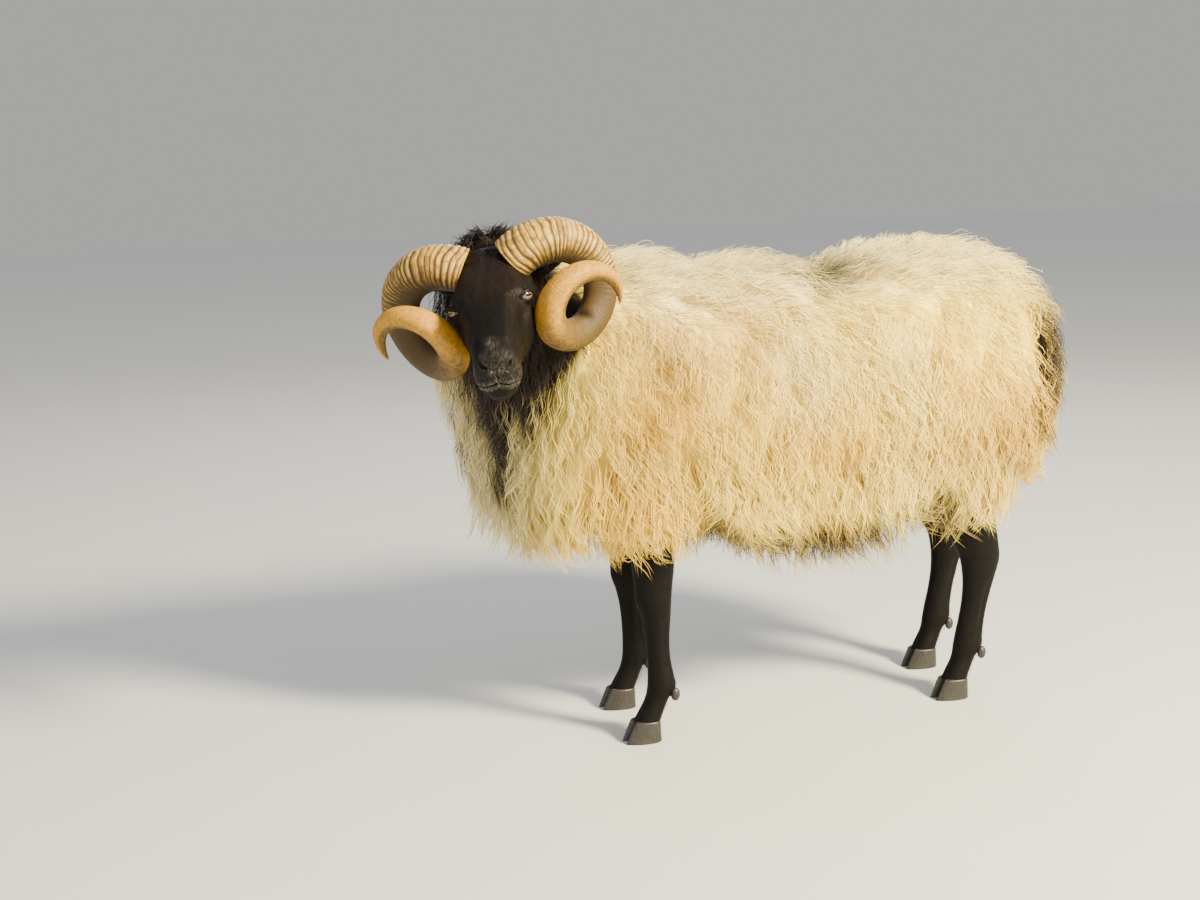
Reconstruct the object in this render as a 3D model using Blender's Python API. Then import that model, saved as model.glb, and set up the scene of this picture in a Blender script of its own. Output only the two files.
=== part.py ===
"""A life-size Blackface ram, standing broadside with its head turned to its left.

Metres, +Z up. The ram faces -X and its left side is -Y. It is modelled with the floor at z = 0 and
is then moved level, so that the middle of its footprint is the origin. Each piece is one closed solid.
"""

import bpy
import bmesh
import numpy as np
from mathutils import Matrix, Vector
from mathutils.bvhtree import BVHTree

# Gaps and seed
GAP = 0.0004
SEED = 11

# Trunk core under the fleece: station x, half width, top, bottom
TRUNK = np.array([
    (-0.370, 0.150, 0.784, 0.410),
    (-0.280, 0.172, 0.788, 0.396),
    (-0.180, 0.186, 0.764, 0.388),
    (-0.050, 0.194, 0.770, 0.385),
    (0.045, 0.196, 0.742, 0.384),
    (0.150, 0.196, 0.776, 0.392),
    (0.270, 0.190, 0.784, 0.404),
    (0.360, 0.174, 0.766, 0.416),
    (0.425, 0.138, 0.724, 0.438),
    (0.462, 0.088, 0.676, 0.476),
])
TRUNK_END = 0.478
TRUNK_SIDES = 20
TRUNK_RINGS = 16
BODY_SQUARENESS = 2.35

# Plane where the neck meets the trunk, through this point and leaning with the shoulder
SHOULDER_POINT = np.array([-0.366, 0.0, 0.587])
SHOULDER_NORMAL = np.array([-0.947, 0.0, 0.322])
SHOULDER_LEAN = 0.34

# Head: where the poll is, and how the head is turned, pitched down and rolled
POLL = np.array([-0.585, -0.1425, 0.837])
HEAD_TURN = np.radians(74.0)
HEAD_PITCH = np.radians(30.0)
HEAD_ROLL = np.radians(14.5)
OCCIPUT = (0.0, -0.030, -0.066)

# Head sections in its own frame: forward, half width, top, bottom
SKULL = np.array([
    (-0.050, 0.036, -0.034, -0.112),
    (-0.036, 0.047, -0.016, -0.128),
    (-0.012, 0.055, -0.001, -0.143),
    (0.020, 0.059, 0.004, -0.149),
    (0.055, 0.0605, 0.006, -0.147),
    (0.085, 0.0610, 0.0065, -0.141),
    (0.107, 0.0595, 0.0045, -0.134),
    (0.130, 0.0530, 0.0015, -0.125),
    (0.160, 0.0430, -0.0020, -0.1150),
    (0.190, 0.0375, -0.0062, -0.1100),
    (0.215, 0.0350, -0.0115, -0.1070),
    (0.234, 0.0332, -0.0180, -0.1035),
    (0.246, 0.0290, -0.0265, -0.0970),
    (0.253, 0.0215, -0.0370, -0.0880),
])
NOSE_TIP = (0.0, 0.2575, -0.0570)
HEAD_SIDES = 20
HEAD_RINGS = 21

HEAD_BACK = (0.0, -0.060, -0.072)
HEAD_WIDEST = 0.42
FOREHEAD_SQUARENESS = 2.5
JAW_SQUARENESS = 2.1

# Swellings and hollows (negative) of the face: place, height and reach, on both sides
FACE_FORMS = (
    ((0.058, 0.093, -0.012), 0.0055, (0.03, 0.024, 0.014)),
    ((0.055, 0.040, -0.095), 0.0040, (0.04, 0.040, 0.035)),
    ((0.045, 0.134, -0.036), -0.0030, (0.03, 0.018, 0.012)),
    ((0.045, 0.165, -0.085), -0.0035, (0.03, 0.030, 0.015)),
    ((0.026, 0.238, -0.054), 0.0020, (0.02, 0.014, 0.010)),
)

# Eyes, nostrils and mouth, in the head's frame for the left side (left, forward, up)
EYE_CENTRE = np.array([0.0515, 0.0970, -0.0285])
EYE_OUTWARD = np.array([0.74, 0.58, 0.32])
EYE_RADIUS = 0.0140
LID_THICKNESS = 0.0034
LID_OPENINGS = {"upper": 0.46, "lower": -0.50}
LID_SLANT = 0.04
LID_HALF_TURN = 1.05
LID_CLEARANCE = 0.0002
NOSTRIL_FACING = (0.62, 0.72, 0.10)
NOSTRIL_SLANT = (0.42, -0.52, 0.62)
NOSTRIL_CENTRE = np.array([0.0175, 0.2450, -0.0370])
NOSTRIL_SIZE = (0.0034, 0.0100, 0.0060)
MOUTH_FRONT = np.array([0.0, 0.2590, -0.0575])
MOUTH_CORNER = np.array([0.0345, 0.2140, -0.0715])
MOUTH_GAP = 0.0022
MOUTH_DEPTH = 0.0060
CLEFT_HEIGHTS = (-0.0580, -0.0440)
CLEFT_HALF_WIDTH = 0.0016

# The muzzle is turned a little about its own length, as a chewing sheep's is
MUZZLE_TURN = np.radians(8.0)
MUZZLE_MIDDLE = -0.0650

# Horn: a widening coil about an axis that leans out and forward from the head
HORN_START = np.array([0.0752, -0.0113, -0.0819])
HORN_AXIS = np.array([1.0, 1.468, 0.032])
HORN_COIL = 0.0747
HORN_SHRINK = 0.0444
HORN_RISE = 0.0241
HORN_RISE_FADE = -0.00106
HORN_PHASE = 1.027
HORN_TURN = 8.807
HORN_RADII = np.array([
    (0.00, 0.0365), (0.10, 0.0355), (0.25, 0.0290), (0.42, 0.0265),
    (0.58, 0.0250), (0.72, 0.0205), (0.85, 0.0150), (0.95, 0.0085), (1.00, 0.0040),
])
HORN_SIDES = 9
HORN_RIBS = 18
HORN_RIBBED = 0.56
HORN_RIB_HEIGHT = 0.0016
HORN_SMOOTH_RINGS = 14

# Ears: length, width, thickness and the way they lie back, in the head's frame
EAR_ROOT = np.array([0.0500, 0.0000, -0.0700])
EAR_WAY = np.array([0.66, -0.68, -0.30])
EAR_LENGTH = 0.098
EAR_WIDTH = 0.044
EAR_THICKNESS = 0.0045
EAR_CUP = 0.0080
EAR_HOLLOW = (0.35, 0.42, -0.50)

# Legs: height, x, y, half size along x and along y, from the top down
FRONT_LEG = np.array([
    (0.372, -0.004, 0.0430, 0.0320),
    (0.300, -0.004, 0.0365, 0.0285),
    (0.262, -0.004, 0.0320, 0.0265),
    (0.240, -0.004, 0.0300, 0.0260),
    (0.215, -0.001, 0.0255, 0.0225),
    (0.180, 0.001, 0.0210, 0.0185),
    (0.140, 0.003, 0.0200, 0.0175),
    (0.110, 0.006, 0.0225, 0.0195),
    (0.092, 0.007, 0.0240, 0.0210),
    (0.070, -0.003, 0.0205, 0.0195),
    (0.050, -0.013, 0.0215, 0.0210),
    (0.0363, -0.021, 0.0235, 0.0230),
])
HIND_LEG = np.array([
    (0.372, -0.026, 0.0590, 0.0350),
    (0.320, -0.008, 0.0520, 0.0315),
    (0.280, 0.008, 0.0430, 0.0280),
    (0.250, 0.017, 0.0365, 0.0255),
    (0.222, 0.015, 0.0310, 0.0230),
    (0.185, 0.009, 0.0255, 0.0200),
    (0.145, 0.001, 0.0240, 0.0190),
    (0.112, -0.005, 0.0255, 0.0205),
    (0.094, -0.007, 0.0260, 0.0215),
    (0.071, -0.017, 0.0215, 0.0195),
    (0.050, -0.027, 0.0220, 0.0210),
    (0.0363, -0.034, 0.0235, 0.0230),
])
LEG_SIDES = 10
LEG_PLACES = {
    "leg_front_left": (-0.296, -0.095, FRONT_LEG),
    "leg_front_right": (-0.272, 0.095, FRONT_LEG),
    "leg_hind_left": (0.306, -0.095, HIND_LEG),
    "leg_hind_right": (0.350, 0.095, HIND_LEG),
}
LEG_CUFF = 0.010
CUFF_BOTTOM = 0.356
CUFF_LEVELS = ((0.480, 0.026), (0.410, 0.022), (CUFF_BOTTOM, LEG_CUFF))

# Claws: two to a foot, each a flat-soled half hoof
CLAW_HEIGHT = 0.0360
CLAW_LENGTH = 0.062
CLAW_WIDTH = 0.0225
CLAW_SPREAD = 0.0128
CLAW_FORWARD = 0.008
CLAW_SIDES = 10
CLAW_LEVELS = (0.0, 0.12, 0.55, 1.0)

# Dew claws behind the fetlock, which is this row of a leg's table
FETLOCK_ROW = 8
DEW_SPREAD = 0.011
DEW_SIZE = (0.011, 0.008, 0.006)
DEW_BELOW = 0.014

# Tail core from root to tip: x, z and half width
TAIL = np.array([
    (0.425, 0.680, 0.024), (0.472, 0.655, 0.030), (0.496, 0.600, 0.032),
    (0.500, 0.530, 0.031), (0.496, 0.460, 0.028), (0.486, 0.400, 0.024), (0.474, 0.355, 0.014),
])
TAIL_SIDES = 10

# Locks: how far a root is sunk, and the share of a lock's width and thickness along its length
LOCK_SINK = 0.016
LOCK_ALONG = np.array([0.0, 0.30, 0.62, 1.0])
LOCK_WIDTHS = np.array([0.72, 1.00, 0.88, 0.0])
LOCK_THICKS = np.array([0.75, 1.00, 0.80, 0.0])
LOCK_CUP = 0.12
LOCK_STEPS = 12
LOCK_VARIATION = 0.14
ROOT_CLEARANCE = 0.036
LOCK_CLEARANCE = 0.012

# Fleece locks: rows by angle from the spine, with length, lift, width and thickness
FLEECE_ROWS = (
    (11, 0.170, 0.034, 0.132, 0.026),
    (38, 0.195, 0.035, 0.140, 0.024),
    (66, 0.200, 0.035, 0.140, 0.024),
    (92, 0.200, 0.035, 0.140, 0.024),
    (116, 0.178, 0.034, 0.140, 0.024),
)
FLEECE_FRONT = -0.372
TRUNK_MIDDLE = 0.590
FLEECE_REACH = 0.220
FLEECE_REAR = 0.410
FLEECE_SPACING = 0.130
BELLY_ROWS = ((146, 0.125, 0.012, 0.140, 0.022),)
RUMP_CENTRE = np.array([0.370, 0.0, 0.600])
RUMP_ROWS = ((30, 0.160), (-8, 0.175))
RUMP_TURNS = (24, 62)
RUMP_LOCK = (0.034, 0.124, 0.022)

# Neck core under the ruff: share of the way to the head, half width, reach above and below
NECK_SIZES = np.array([
    (0.0, 0.152, 0.196, 0.186),
    (0.25, 0.152, 0.158, 0.214),
    (0.50, 0.136, 0.120, 0.212),
    (0.75, 0.098, 0.078, 0.168),
    (1.0, 0.056, 0.050, 0.100),
])
NECK_HANDLES = (0.115, 0.085)
NECK_RINGS = 7
NECK_SIDES = 16
BREAST = np.array([-0.046, 0.020, -0.030])

# Ruff locks: shares along the neck with lengths and angles from the crest, and their lift, width, thickness
RUFF_ROWS = ((0.13, 0.170, (0, 45, 90)), (0.46, 0.175, (12, 57, 102)), (0.80, 0.130, (0, 45)))
RUFF_LOCK = (0.034, 0.110, 0.020)
RUFF_REACH = 0.250

# Breast locks: heights with lengths, turned about an upright line inside the breast
BIB_CENTRE = np.array([-0.400, 0.015])
BIB_ROWS = ((0.640, 0.180), (0.525, 0.180), (0.420, 0.150))
BIB_TURNS = (-82, -42, -2, 38, 78)
HORN_CLEARANCE = 0.014

# Tail locks
TAIL_ROWS = (0.20, 0.66)
TAIL_ANGLES = (20, 90, 160)
TAIL_LOCK = (0.130, 0.014, 0.056, 0.016)

COLOURS = {
    "fleece": ((0.72, 0.58, 0.39), 0.90),
    "ruff": ((0.20, 0.15, 0.11), 0.90),
    "black hair": ((0.022, 0.018, 0.016), 0.60),
    "horn": ((0.55, 0.37, 0.17), 0.50),
    "claw": ((0.045, 0.040, 0.036), 0.50),
    "eye": ((0.42, 0.27, 0.16), 0.10),
}


def material_of(finish):
    """The finish's Principled material, made once."""
    found = bpy.data.materials.get(finish)
    if found:
        return found
    colour, roughness = COLOURS[finish]
    made = bpy.data.materials.new(finish)
    made.use_nodes = True
    shader = made.node_tree.nodes["Principled BSDF"]
    shader.inputs["Base Color"].default_value = (*colour, 1.0)
    shader.inputs["Roughness"].default_value = roughness
    shader.inputs["Metallic"].default_value = 0.0
    return made


def between(table, at):
    """A smooth curve through a table's rows, read at the values given: column 0 is the position."""
    places, values = table[:, 0], table[:, 1:]
    slopes = np.gradient(values, places, axis=0)
    at = np.clip(np.asarray(at, float), places[0], places[-1])
    i = np.clip(np.searchsorted(places, at, side="right") - 1, 0, len(places) - 2)
    span = (places[i + 1] - places[i])[:, None]
    t = (at - places[i])[:, None] / span
    start, end = values[i], values[i + 1]
    bend_in, bend_out = slopes[i] * span, slopes[i + 1] * span
    return (
        start * (1 + 2 * t) * (1 - t) ** 2
        + bend_in * t * (1 - t) ** 2
        + end * t ** 2 * (3 - 2 * t)
        + bend_out * t ** 2 * (t - 1)
    )


def unit(vector):
    vector = np.asarray(vector, float)
    return vector / np.linalg.norm(vector, axis=-1, keepdims=True)


def smooth_step(low, high, value):
    t = np.clip((value - low) / (high - low), 0.0, 1.0)
    return t * t * (3.0 - 2.0 * t)


def head_axes():
    """The head's left, forward and up directions."""
    turn, pitch, roll = np.pi / 2 - HEAD_TURN, HEAD_PITCH, HEAD_ROLL
    forward = np.array([-np.sin(turn) * np.cos(pitch), -np.cos(turn) * np.cos(pitch), -np.sin(pitch)])
    level = np.array([np.cos(turn), -np.sin(turn), 0.0])
    upright = np.cross(forward, level)
    left = np.cos(roll) * level + np.sin(roll) * upright
    up = np.cos(roll) * upright - np.sin(roll) * level
    return np.array([left, forward, up])


HEAD_AXES = head_axes()


def from_head(local):
    """Points of the head's frame (left, forward, up) in the ram's own."""
    return POLL + np.asarray(local, float) @ HEAD_AXES


def mesh_object(name, points, faces, finish="fleece"):
    """A closed mesh object whose triangles all face outwards."""
    points = np.asarray(points, float)
    faces = np.asarray(faces, int)
    corners = points[faces]
    volume = np.einsum("ij,ij->i", corners[:, 0], np.cross(corners[:, 1], corners[:, 2])).sum()
    if volume < 0:
        faces = faces[:, ::-1]
    mesh = bpy.data.meshes.new(name)
    mesh.from_pydata(points.tolist(), [], faces.tolist())
    mesh.materials.append(material_of(finish))
    piece = bpy.data.objects.new(name, mesh)
    bpy.context.scene.collection.objects.link(piece)
    return piece


def loft(name, rings, finish="fleece", start=None, end=None):
    """A closed skin over a stack of rings, each end closed by a fan to its own tip or middle."""
    rings = np.asarray(rings, float)
    count, sides = rings.shape[:2]
    first_tip = rings[0].mean(axis=0) if start is None else np.asarray(start)
    last_tip = rings[-1].mean(axis=0) if end is None else np.asarray(end)
    points = np.vstack([rings.reshape(-1, 3), first_tip, last_tip])
    ring, side = np.meshgrid(np.arange(count - 1), np.arange(sides), indexing="ij")
    a = (ring * sides + side).ravel()
    b = (ring * sides + (side + 1) % sides).ravel()
    walls = np.vstack([np.stack([a, b, b + sides], 1), np.stack([a, b + sides, a + sides], 1)])
    j = np.arange(sides)
    k = (j + 1) % sides
    low = np.stack([np.full(sides, count * sides), k, j], 1)
    top = (count - 1) * sides
    high = np.stack([np.full(sides, count * sides + 1), top + j, top + k], 1)
    return mesh_object(name, points, np.vstack([walls, low, high]), finish)


def applied(piece):
    """Replaces a piece's mesh by what its modifiers make of it."""
    bpy.context.view_layer.update()
    evaluated = piece.evaluated_get(bpy.context.evaluated_depsgraph_get())
    mesh = bpy.data.meshes.new_from_object(evaluated)
    piece.modifiers.clear()
    piece.data = mesh
    return piece


def combined(piece, others, operation):
    """One Boolean of a piece with a collection of closed pieces, which are then removed."""
    group = bpy.data.collections.new("pieces")
    bpy.context.scene.collection.children.link(group)
    for other in others:
        bpy.context.scene.collection.objects.unlink(other)
        group.objects.link(other)
    modifier = piece.modifiers.new(operation, "BOOLEAN")
    modifier.operation = operation
    modifier.operand_type = "COLLECTION"
    modifier.collection = group
    modifier.solver = "MANIFOLD"
    applied(piece)
    for other in others:
        bpy.data.objects.remove(other)
    bpy.data.collections.remove(group)
    return largest_surface(piece)


def largest_surface(piece):
    """Keeps only the largest closed surface of a piece."""
    shape = bmesh.new()
    shape.from_mesh(piece.data)
    bmesh.ops.triangulate(shape, faces=shape.faces)
    unseen = set(shape.faces)
    surfaces = []
    while unseen:
        stack = [unseen.pop()]
        surface = []
        while stack:
            face = stack.pop()
            surface.append(face)
            plain = [edge for edge in face.edges if len(edge.link_faces) == 2]
            for other in {other for edge in plain for other in edge.link_faces} & unseen:
                unseen.remove(other)
                stack.append(other)
        surfaces.append(surface)
    surfaces.sort(key=len, reverse=True)
    loose = [face for surface in surfaces[1:] for face in surface]
    bmesh.ops.delete(shape, geom=loose, context="FACES")
    shape.to_mesh(piece.data)
    shape.free()
    return piece


def body_section(half_width, top, bottom, sides, squareness):
    """Offsets (across, up) of a rounded-square section whose widest level is a little below the middle."""
    angle = np.linspace(0.0, 2.0 * np.pi, sides, endpoint=False)
    power = 2.0 / squareness
    across = half_width[:, None] * np.sign(np.sin(angle)) * np.abs(np.sin(angle)) ** power
    middle = (bottom + 0.5 * (top - bottom))[:, None]
    half_height = (0.5 * (top - bottom))[:, None]
    up = middle + half_height * np.sign(np.cos(angle)) * np.abs(np.cos(angle)) ** power
    return across, up


def trunk_core():
    """The trunk under its fleece, from the shoulder plane to the rounded rump."""
    share = np.linspace(0.0, 1.0, TRUNK_RINGS) ** 0.85
    at = TRUNK[0, 0] + share * (TRUNK[-1, 0] - TRUNK[0, 0])
    half_width, top, bottom = between(TRUNK, at).T
    across, up = body_section(half_width, top, bottom, TRUNK_SIDES, BODY_SQUARENESS)
    lean = SHOULDER_LEAN * (1.0 - smooth_step(TRUNK[0, 0], -0.05, at))[:, None]
    along = at[:, None] + lean * (up - SHOULDER_POINT[2])
    rings = np.stack([along, across, up], axis=-1)
    end = (TRUNK_END, 0.0, 0.5 * (top[-1] + bottom[-1]))
    return loft("torso", rings, "fleece", end=end)


def neck_frames(count):
    """Centres and axes (side, up, along) of the neck's rings from the shoulder plane to the occiput."""
    start = SHOULDER_POINT - 10.0 * GAP * SHOULDER_NORMAL
    finish = from_head(OCCIPUT)
    into_head = unit(0.75 * HEAD_AXES[1] + 0.35 * SHOULDER_NORMAL)
    t = np.linspace(0.0, 1.0, count)[:, None]
    handle_a = start + NECK_HANDLES[0] * SHOULDER_NORMAL
    handle_b = finish - NECK_HANDLES[1] * into_head
    centre = (
        (1 - t) ** 3 * start + 3 * t * (1 - t) ** 2 * handle_a
        + 3 * t ** 2 * (1 - t) * handle_b + t ** 3 * finish
    )
    along = unit((1 - t) * SHOULDER_NORMAL + t * into_head)
    up_start = np.array([SHOULDER_NORMAL[2], 0.0, -SHOULDER_NORMAL[0]])
    up = (1 - t) * up_start + t * HEAD_AXES[2]
    up = unit(up - (up * along).sum(axis=1, keepdims=True) * along)
    return centre, np.cross(along, up), up, along


def neck_core():
    """The neck and breast under the ruff."""
    centre, side, up, _ = neck_frames(NECK_RINGS)
    half_width, above, below = between(NECK_SIZES, np.linspace(0.0, 1.0, NECK_RINGS)).T
    angle = np.linspace(0.0, 2.0 * np.pi, NECK_SIDES, endpoint=False)
    across = half_width[:, None] * np.sin(angle)
    rise = np.where(np.cos(angle) > 0, above[:, None], below[:, None]) * np.cos(angle)
    rings = centre[:, None] + across[..., None] * side[:, None] + rise[..., None] * up[:, None]
    low = smooth_step(0.3, 0.7, 0.5 - 0.5 * np.cos(angle))
    swell = np.sin(np.pi * np.linspace(0.0, 1.0, NECK_RINGS))
    rings += (swell[:, None] * low)[..., None] * BREAST
    return loft("neck", rings, "ruff")


def head_section(at, grow=0.0):
    """Rings of the head in its own frame: broad forehead, narrower Roman nose, deep jaw."""
    half_width, top, bottom = between(SKULL, at).T
    half_width, top, bottom = half_width + grow, top + grow, bottom - grow
    angle = np.linspace(0.0, 2.0 * np.pi, HEAD_SIDES, endpoint=False)
    widest = top - HEAD_WIDEST * (top - bottom)
    up_part = np.cos(angle) > 0
    height = np.where(up_part, (top - widest)[:, None], (widest - bottom)[:, None])
    square = np.where(up_part, FOREHEAD_SQUARENESS, JAW_SQUARENESS)
    across = half_width[:, None] * np.sign(np.sin(angle)) * np.abs(np.sin(angle)) ** (2.0 / square)
    up = widest[:, None] + height * np.sign(np.cos(angle)) * np.abs(np.cos(angle)) ** (2.0 / square)
    forward = np.repeat(np.asarray(at)[:, None], HEAD_SIDES, axis=1)
    return np.stack([across, forward, up], axis=-1)


def shaped_face(rings):
    """Adds brows, hollows before the eyes, cheeks and lips to the head's rings."""
    folded = np.abs(rings) * [1.0, 0.0, 0.0] + rings * [0.0, 1.0, 1.0]
    shaped = rings.copy()
    for place, size, reach in FACE_FORMS:
        away = (((folded - place) / reach) ** 2).sum(axis=-1)
        shaped[..., 0] += np.sign(rings[..., 0]) * size * np.exp(-away)
    return with_turned_muzzle(shaped)


def with_turned_muzzle(local):
    """Points of the head's frame, turned about the muzzle's length by more and more towards the nose."""
    local = np.asarray(local, float)
    turn = MUZZLE_TURN * smooth_step(0.13, 0.25, local[..., 1])
    across, up = local[..., 0], local[..., 2] - MUZZLE_MIDDLE
    return np.stack([
        across * np.cos(turn) + up * np.sin(turn),
        local[..., 1],
        MUZZLE_MIDDLE + up * np.cos(turn) - across * np.sin(turn),
    ], axis=-1)


def head_rings(grow=0.0):
    at = np.concatenate([
        np.linspace(SKULL[0, 0], 0.20, HEAD_RINGS - 8),
        np.linspace(0.20, SKULL[-1, 0], 9)[1:],
    ])
    return shaped_face(head_section(at, grow))


def head_shell(name, grow=0.0):
    rings = head_rings(grow)
    back = np.array(HEAD_BACK) - (0.0, grow, 0.0)
    nose = with_turned_muzzle(np.array(NOSE_TIP) + (0.0, grow, 0.0))
    return loft(name, from_head(rings), "black hair", start=from_head(back), end=from_head(nose))


def mirrored(local, side):
    """A point of the left side of the head, or its twin on the right (side = -1)."""
    return np.asarray(local, float) * np.array([side, 1.0, 1.0])


def ball(name, centre, axes, sizes, rings=6, sides=12, finish="eye"):
    """A stretched ball about its own axes, its poles along the first axis."""
    polar = np.linspace(0.0, np.pi, rings + 2)[1:-1]
    angle = np.linspace(0.0, 2.0 * np.pi, sides, endpoint=False)
    axes = np.asarray(axes, float)
    offsets = np.stack([
        np.repeat(np.cos(polar)[:, None], sides, axis=1) * sizes[0],
        np.sin(polar)[:, None] * np.cos(angle) * sizes[1],
        np.sin(polar)[:, None] * np.sin(angle) * sizes[2],
    ], axis=-1)
    points = centre + offsets @ axes
    return loft(name, points, finish, start=centre + axes[0] * sizes[0], end=centre - axes[0] * sizes[0])


def eye_axes(side):
    """Outward, forward and up directions of an eye in the head's frame."""
    outward = unit(mirrored(EYE_OUTWARD, side))
    forward = unit(np.array([0.0, 1.0, -0.12]) - np.dot([0.0, 1.0, -0.12], outward) * outward)
    return np.array([outward, forward, np.cross(outward, forward) * side])


def eyeball(name, side, grow=0.0):
    axes = eye_axes(side) @ HEAD_AXES
    centre = from_head(mirrored(EYE_CENTRE, side))
    return ball(name, centre, axes, (EYE_RADIUS + grow,) * 3)


def eyelid(side, upper):
    """A crescent lid that runs over the eyeball from its inner to its outer corner."""
    axes = eye_axes(side)
    centre = mirrored(EYE_CENTRE, side)
    sweep = np.linspace(-1.0, 1.0, 7)
    arch = np.sqrt(np.maximum(1.0 - sweep ** 2, 0.0))
    tilt = LID_OPENINGS["upper" if upper else "lower"] * arch + LID_SLANT
    turn = sweep * LID_HALF_TURN
    radius = EYE_RADIUS + LID_CLEARANCE
    way = (
        np.cos(turn)[:, None] * np.cos(tilt)[:, None] * axes[0]
        + np.sin(turn)[:, None] * np.cos(tilt)[:, None] * axes[1]
        + np.sin(tilt)[:, None] * axes[2]
    )
    line = centre + way * radius
    along = unit(np.gradient(line, axis=0))
    over = unit(np.cross(way, along))
    angle = np.linspace(0.0, 2.0 * np.pi, 5, endpoint=False)
    half = LID_THICKNESS * (0.55 + 0.45 * arch)[:, None, None]
    ring = (
        np.cos(angle)[None, :, None] * way[:, None] * 0.62
        + np.sin(angle)[None, :, None] * over[:, None]
    )
    return loft("lid", from_head(line[:, None] + ring * half), "black hair")


def nostril(side):
    """A slanting comma-shaped hollow at the side of the nose."""
    out = unit(mirrored(NOSTRIL_FACING, side))
    slant = unit(mirrored(NOSTRIL_SLANT, side))
    slant = unit(slant - np.dot(slant, out) * out)
    axes = np.array([np.cross(out, slant), slant, out]) @ HEAD_AXES
    centre = with_turned_muzzle(mirrored(NOSTRIL_CENTRE, side))
    return ball("nostril", from_head(centre), axes, NOSTRIL_SIZE, 5, 8, "black hair")


def mouth_line():
    """The wedge that parts the lips from one corner of the mouth round the front to the other."""
    t = np.linspace(-1.0, 1.0, 13)
    bend = np.abs(t) ** 1.6
    forward = MOUTH_FRONT[1] - (MOUTH_FRONT[1] - MOUTH_CORNER[1]) * bend
    up = MOUTH_FRONT[2] - (MOUTH_FRONT[2] - MOUTH_CORNER[2]) * np.abs(t)
    across = MOUTH_CORNER[0] * np.sign(t) * np.abs(t) ** 0.75
    line = np.stack([across, forward, up], axis=-1)
    outward = unit(np.stack([across * 1.6, 0.25 * (forward - 0.18), 0.0 * t], axis=-1))
    rise = np.array([0.0, 0.0, MOUTH_GAP])
    ring = np.stack([
        line + outward * 0.006 - rise, line + outward * 0.006 + rise,
        line - outward * MOUTH_DEPTH,
    ], axis=1)
    return loft("mouth", from_head(with_turned_muzzle(ring)), "black hair")


def lip_cleft():
    """The short upright groove in the middle of the upper lip."""
    ring = []
    for up in np.linspace(*CLEFT_HEIGHTS, 3):
        forward = MOUTH_FRONT[1]
        ring.append([
            (-CLEFT_HALF_WIDTH, forward + 0.004, up),
            (CLEFT_HALF_WIDTH, forward + 0.004, up),
            (0.0, forward - 0.0035, up),
        ])
    return loft("cleft", from_head(with_turned_muzzle(ring)), "black hair")


def horn_line(t, side):
    """Points and outward directions of a horn's centreline, a shrinking coil about its leaning axis."""
    axis = unit(HORN_AXIS)
    first = unit(np.array([0.0, 1.0, 0.0]) - axis[1] * axis)
    second = np.cross(axis, first)
    turn = t * HORN_TURN
    reach = HORN_COIL * np.exp(-HORN_SHRINK * turn)
    phase = HORN_PHASE + turn
    climb = HORN_RISE * turn + HORN_RISE_FADE * turn ** 2
    outward = np.cos(phase)[:, None] * first + np.sin(phase)[:, None] * second
    line = HORN_START + reach[:, None] * outward + climb[:, None] * axis
    flip = np.array([side, 1.0, 1.0])
    return from_head(line * flip), (outward * flip) @ HEAD_AXES


def horn(name, side, grow=0.0):
    """A ribbed horn whose section is rounded outside and flatter on the side towards the coil."""
    ribbed = np.linspace(0.0, HORN_RIBBED, 2 * HORN_RIBS + 1)
    smooth = np.linspace(HORN_RIBBED, 1.0, HORN_SMOOTH_RINGS + 1)[1:]
    t = np.concatenate([ribbed, smooth])
    rib = np.where(np.arange(len(t)) % 2 == 1, HORN_RIB_HEIGHT, 0.0) * (t < HORN_RIBBED)
    rib = rib * (1.0 - smooth_step(0.40, HORN_RIBBED, t))
    line, outward = horn_line(t, side)
    along = unit(np.gradient(line, axis=0))
    outward = unit(outward - (outward * along).sum(axis=1, keepdims=True) * along)
    across = np.cross(along, outward)
    radius = between(HORN_RADII, t)[:, 0] + rib + grow
    angle = np.linspace(0.0, 2.0 * np.pi, HORN_SIDES, endpoint=False)
    section = 1.0 + 0.06 * np.cos(angle) - 0.05 * np.cos(3.0 * angle)
    reach = radius[:, None, None] * section[None, :, None]
    rings = line[:, None] + reach * (
        np.cos(angle)[None, :, None] * outward[:, None] + np.sin(angle)[None, :, None] * across[:, None]
    )
    rings[0] -= grow * along[0]
    tip = line[-1] + along[-1] * (0.006 + grow)
    return loft(name, rings, "horn", end=tip)


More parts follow.
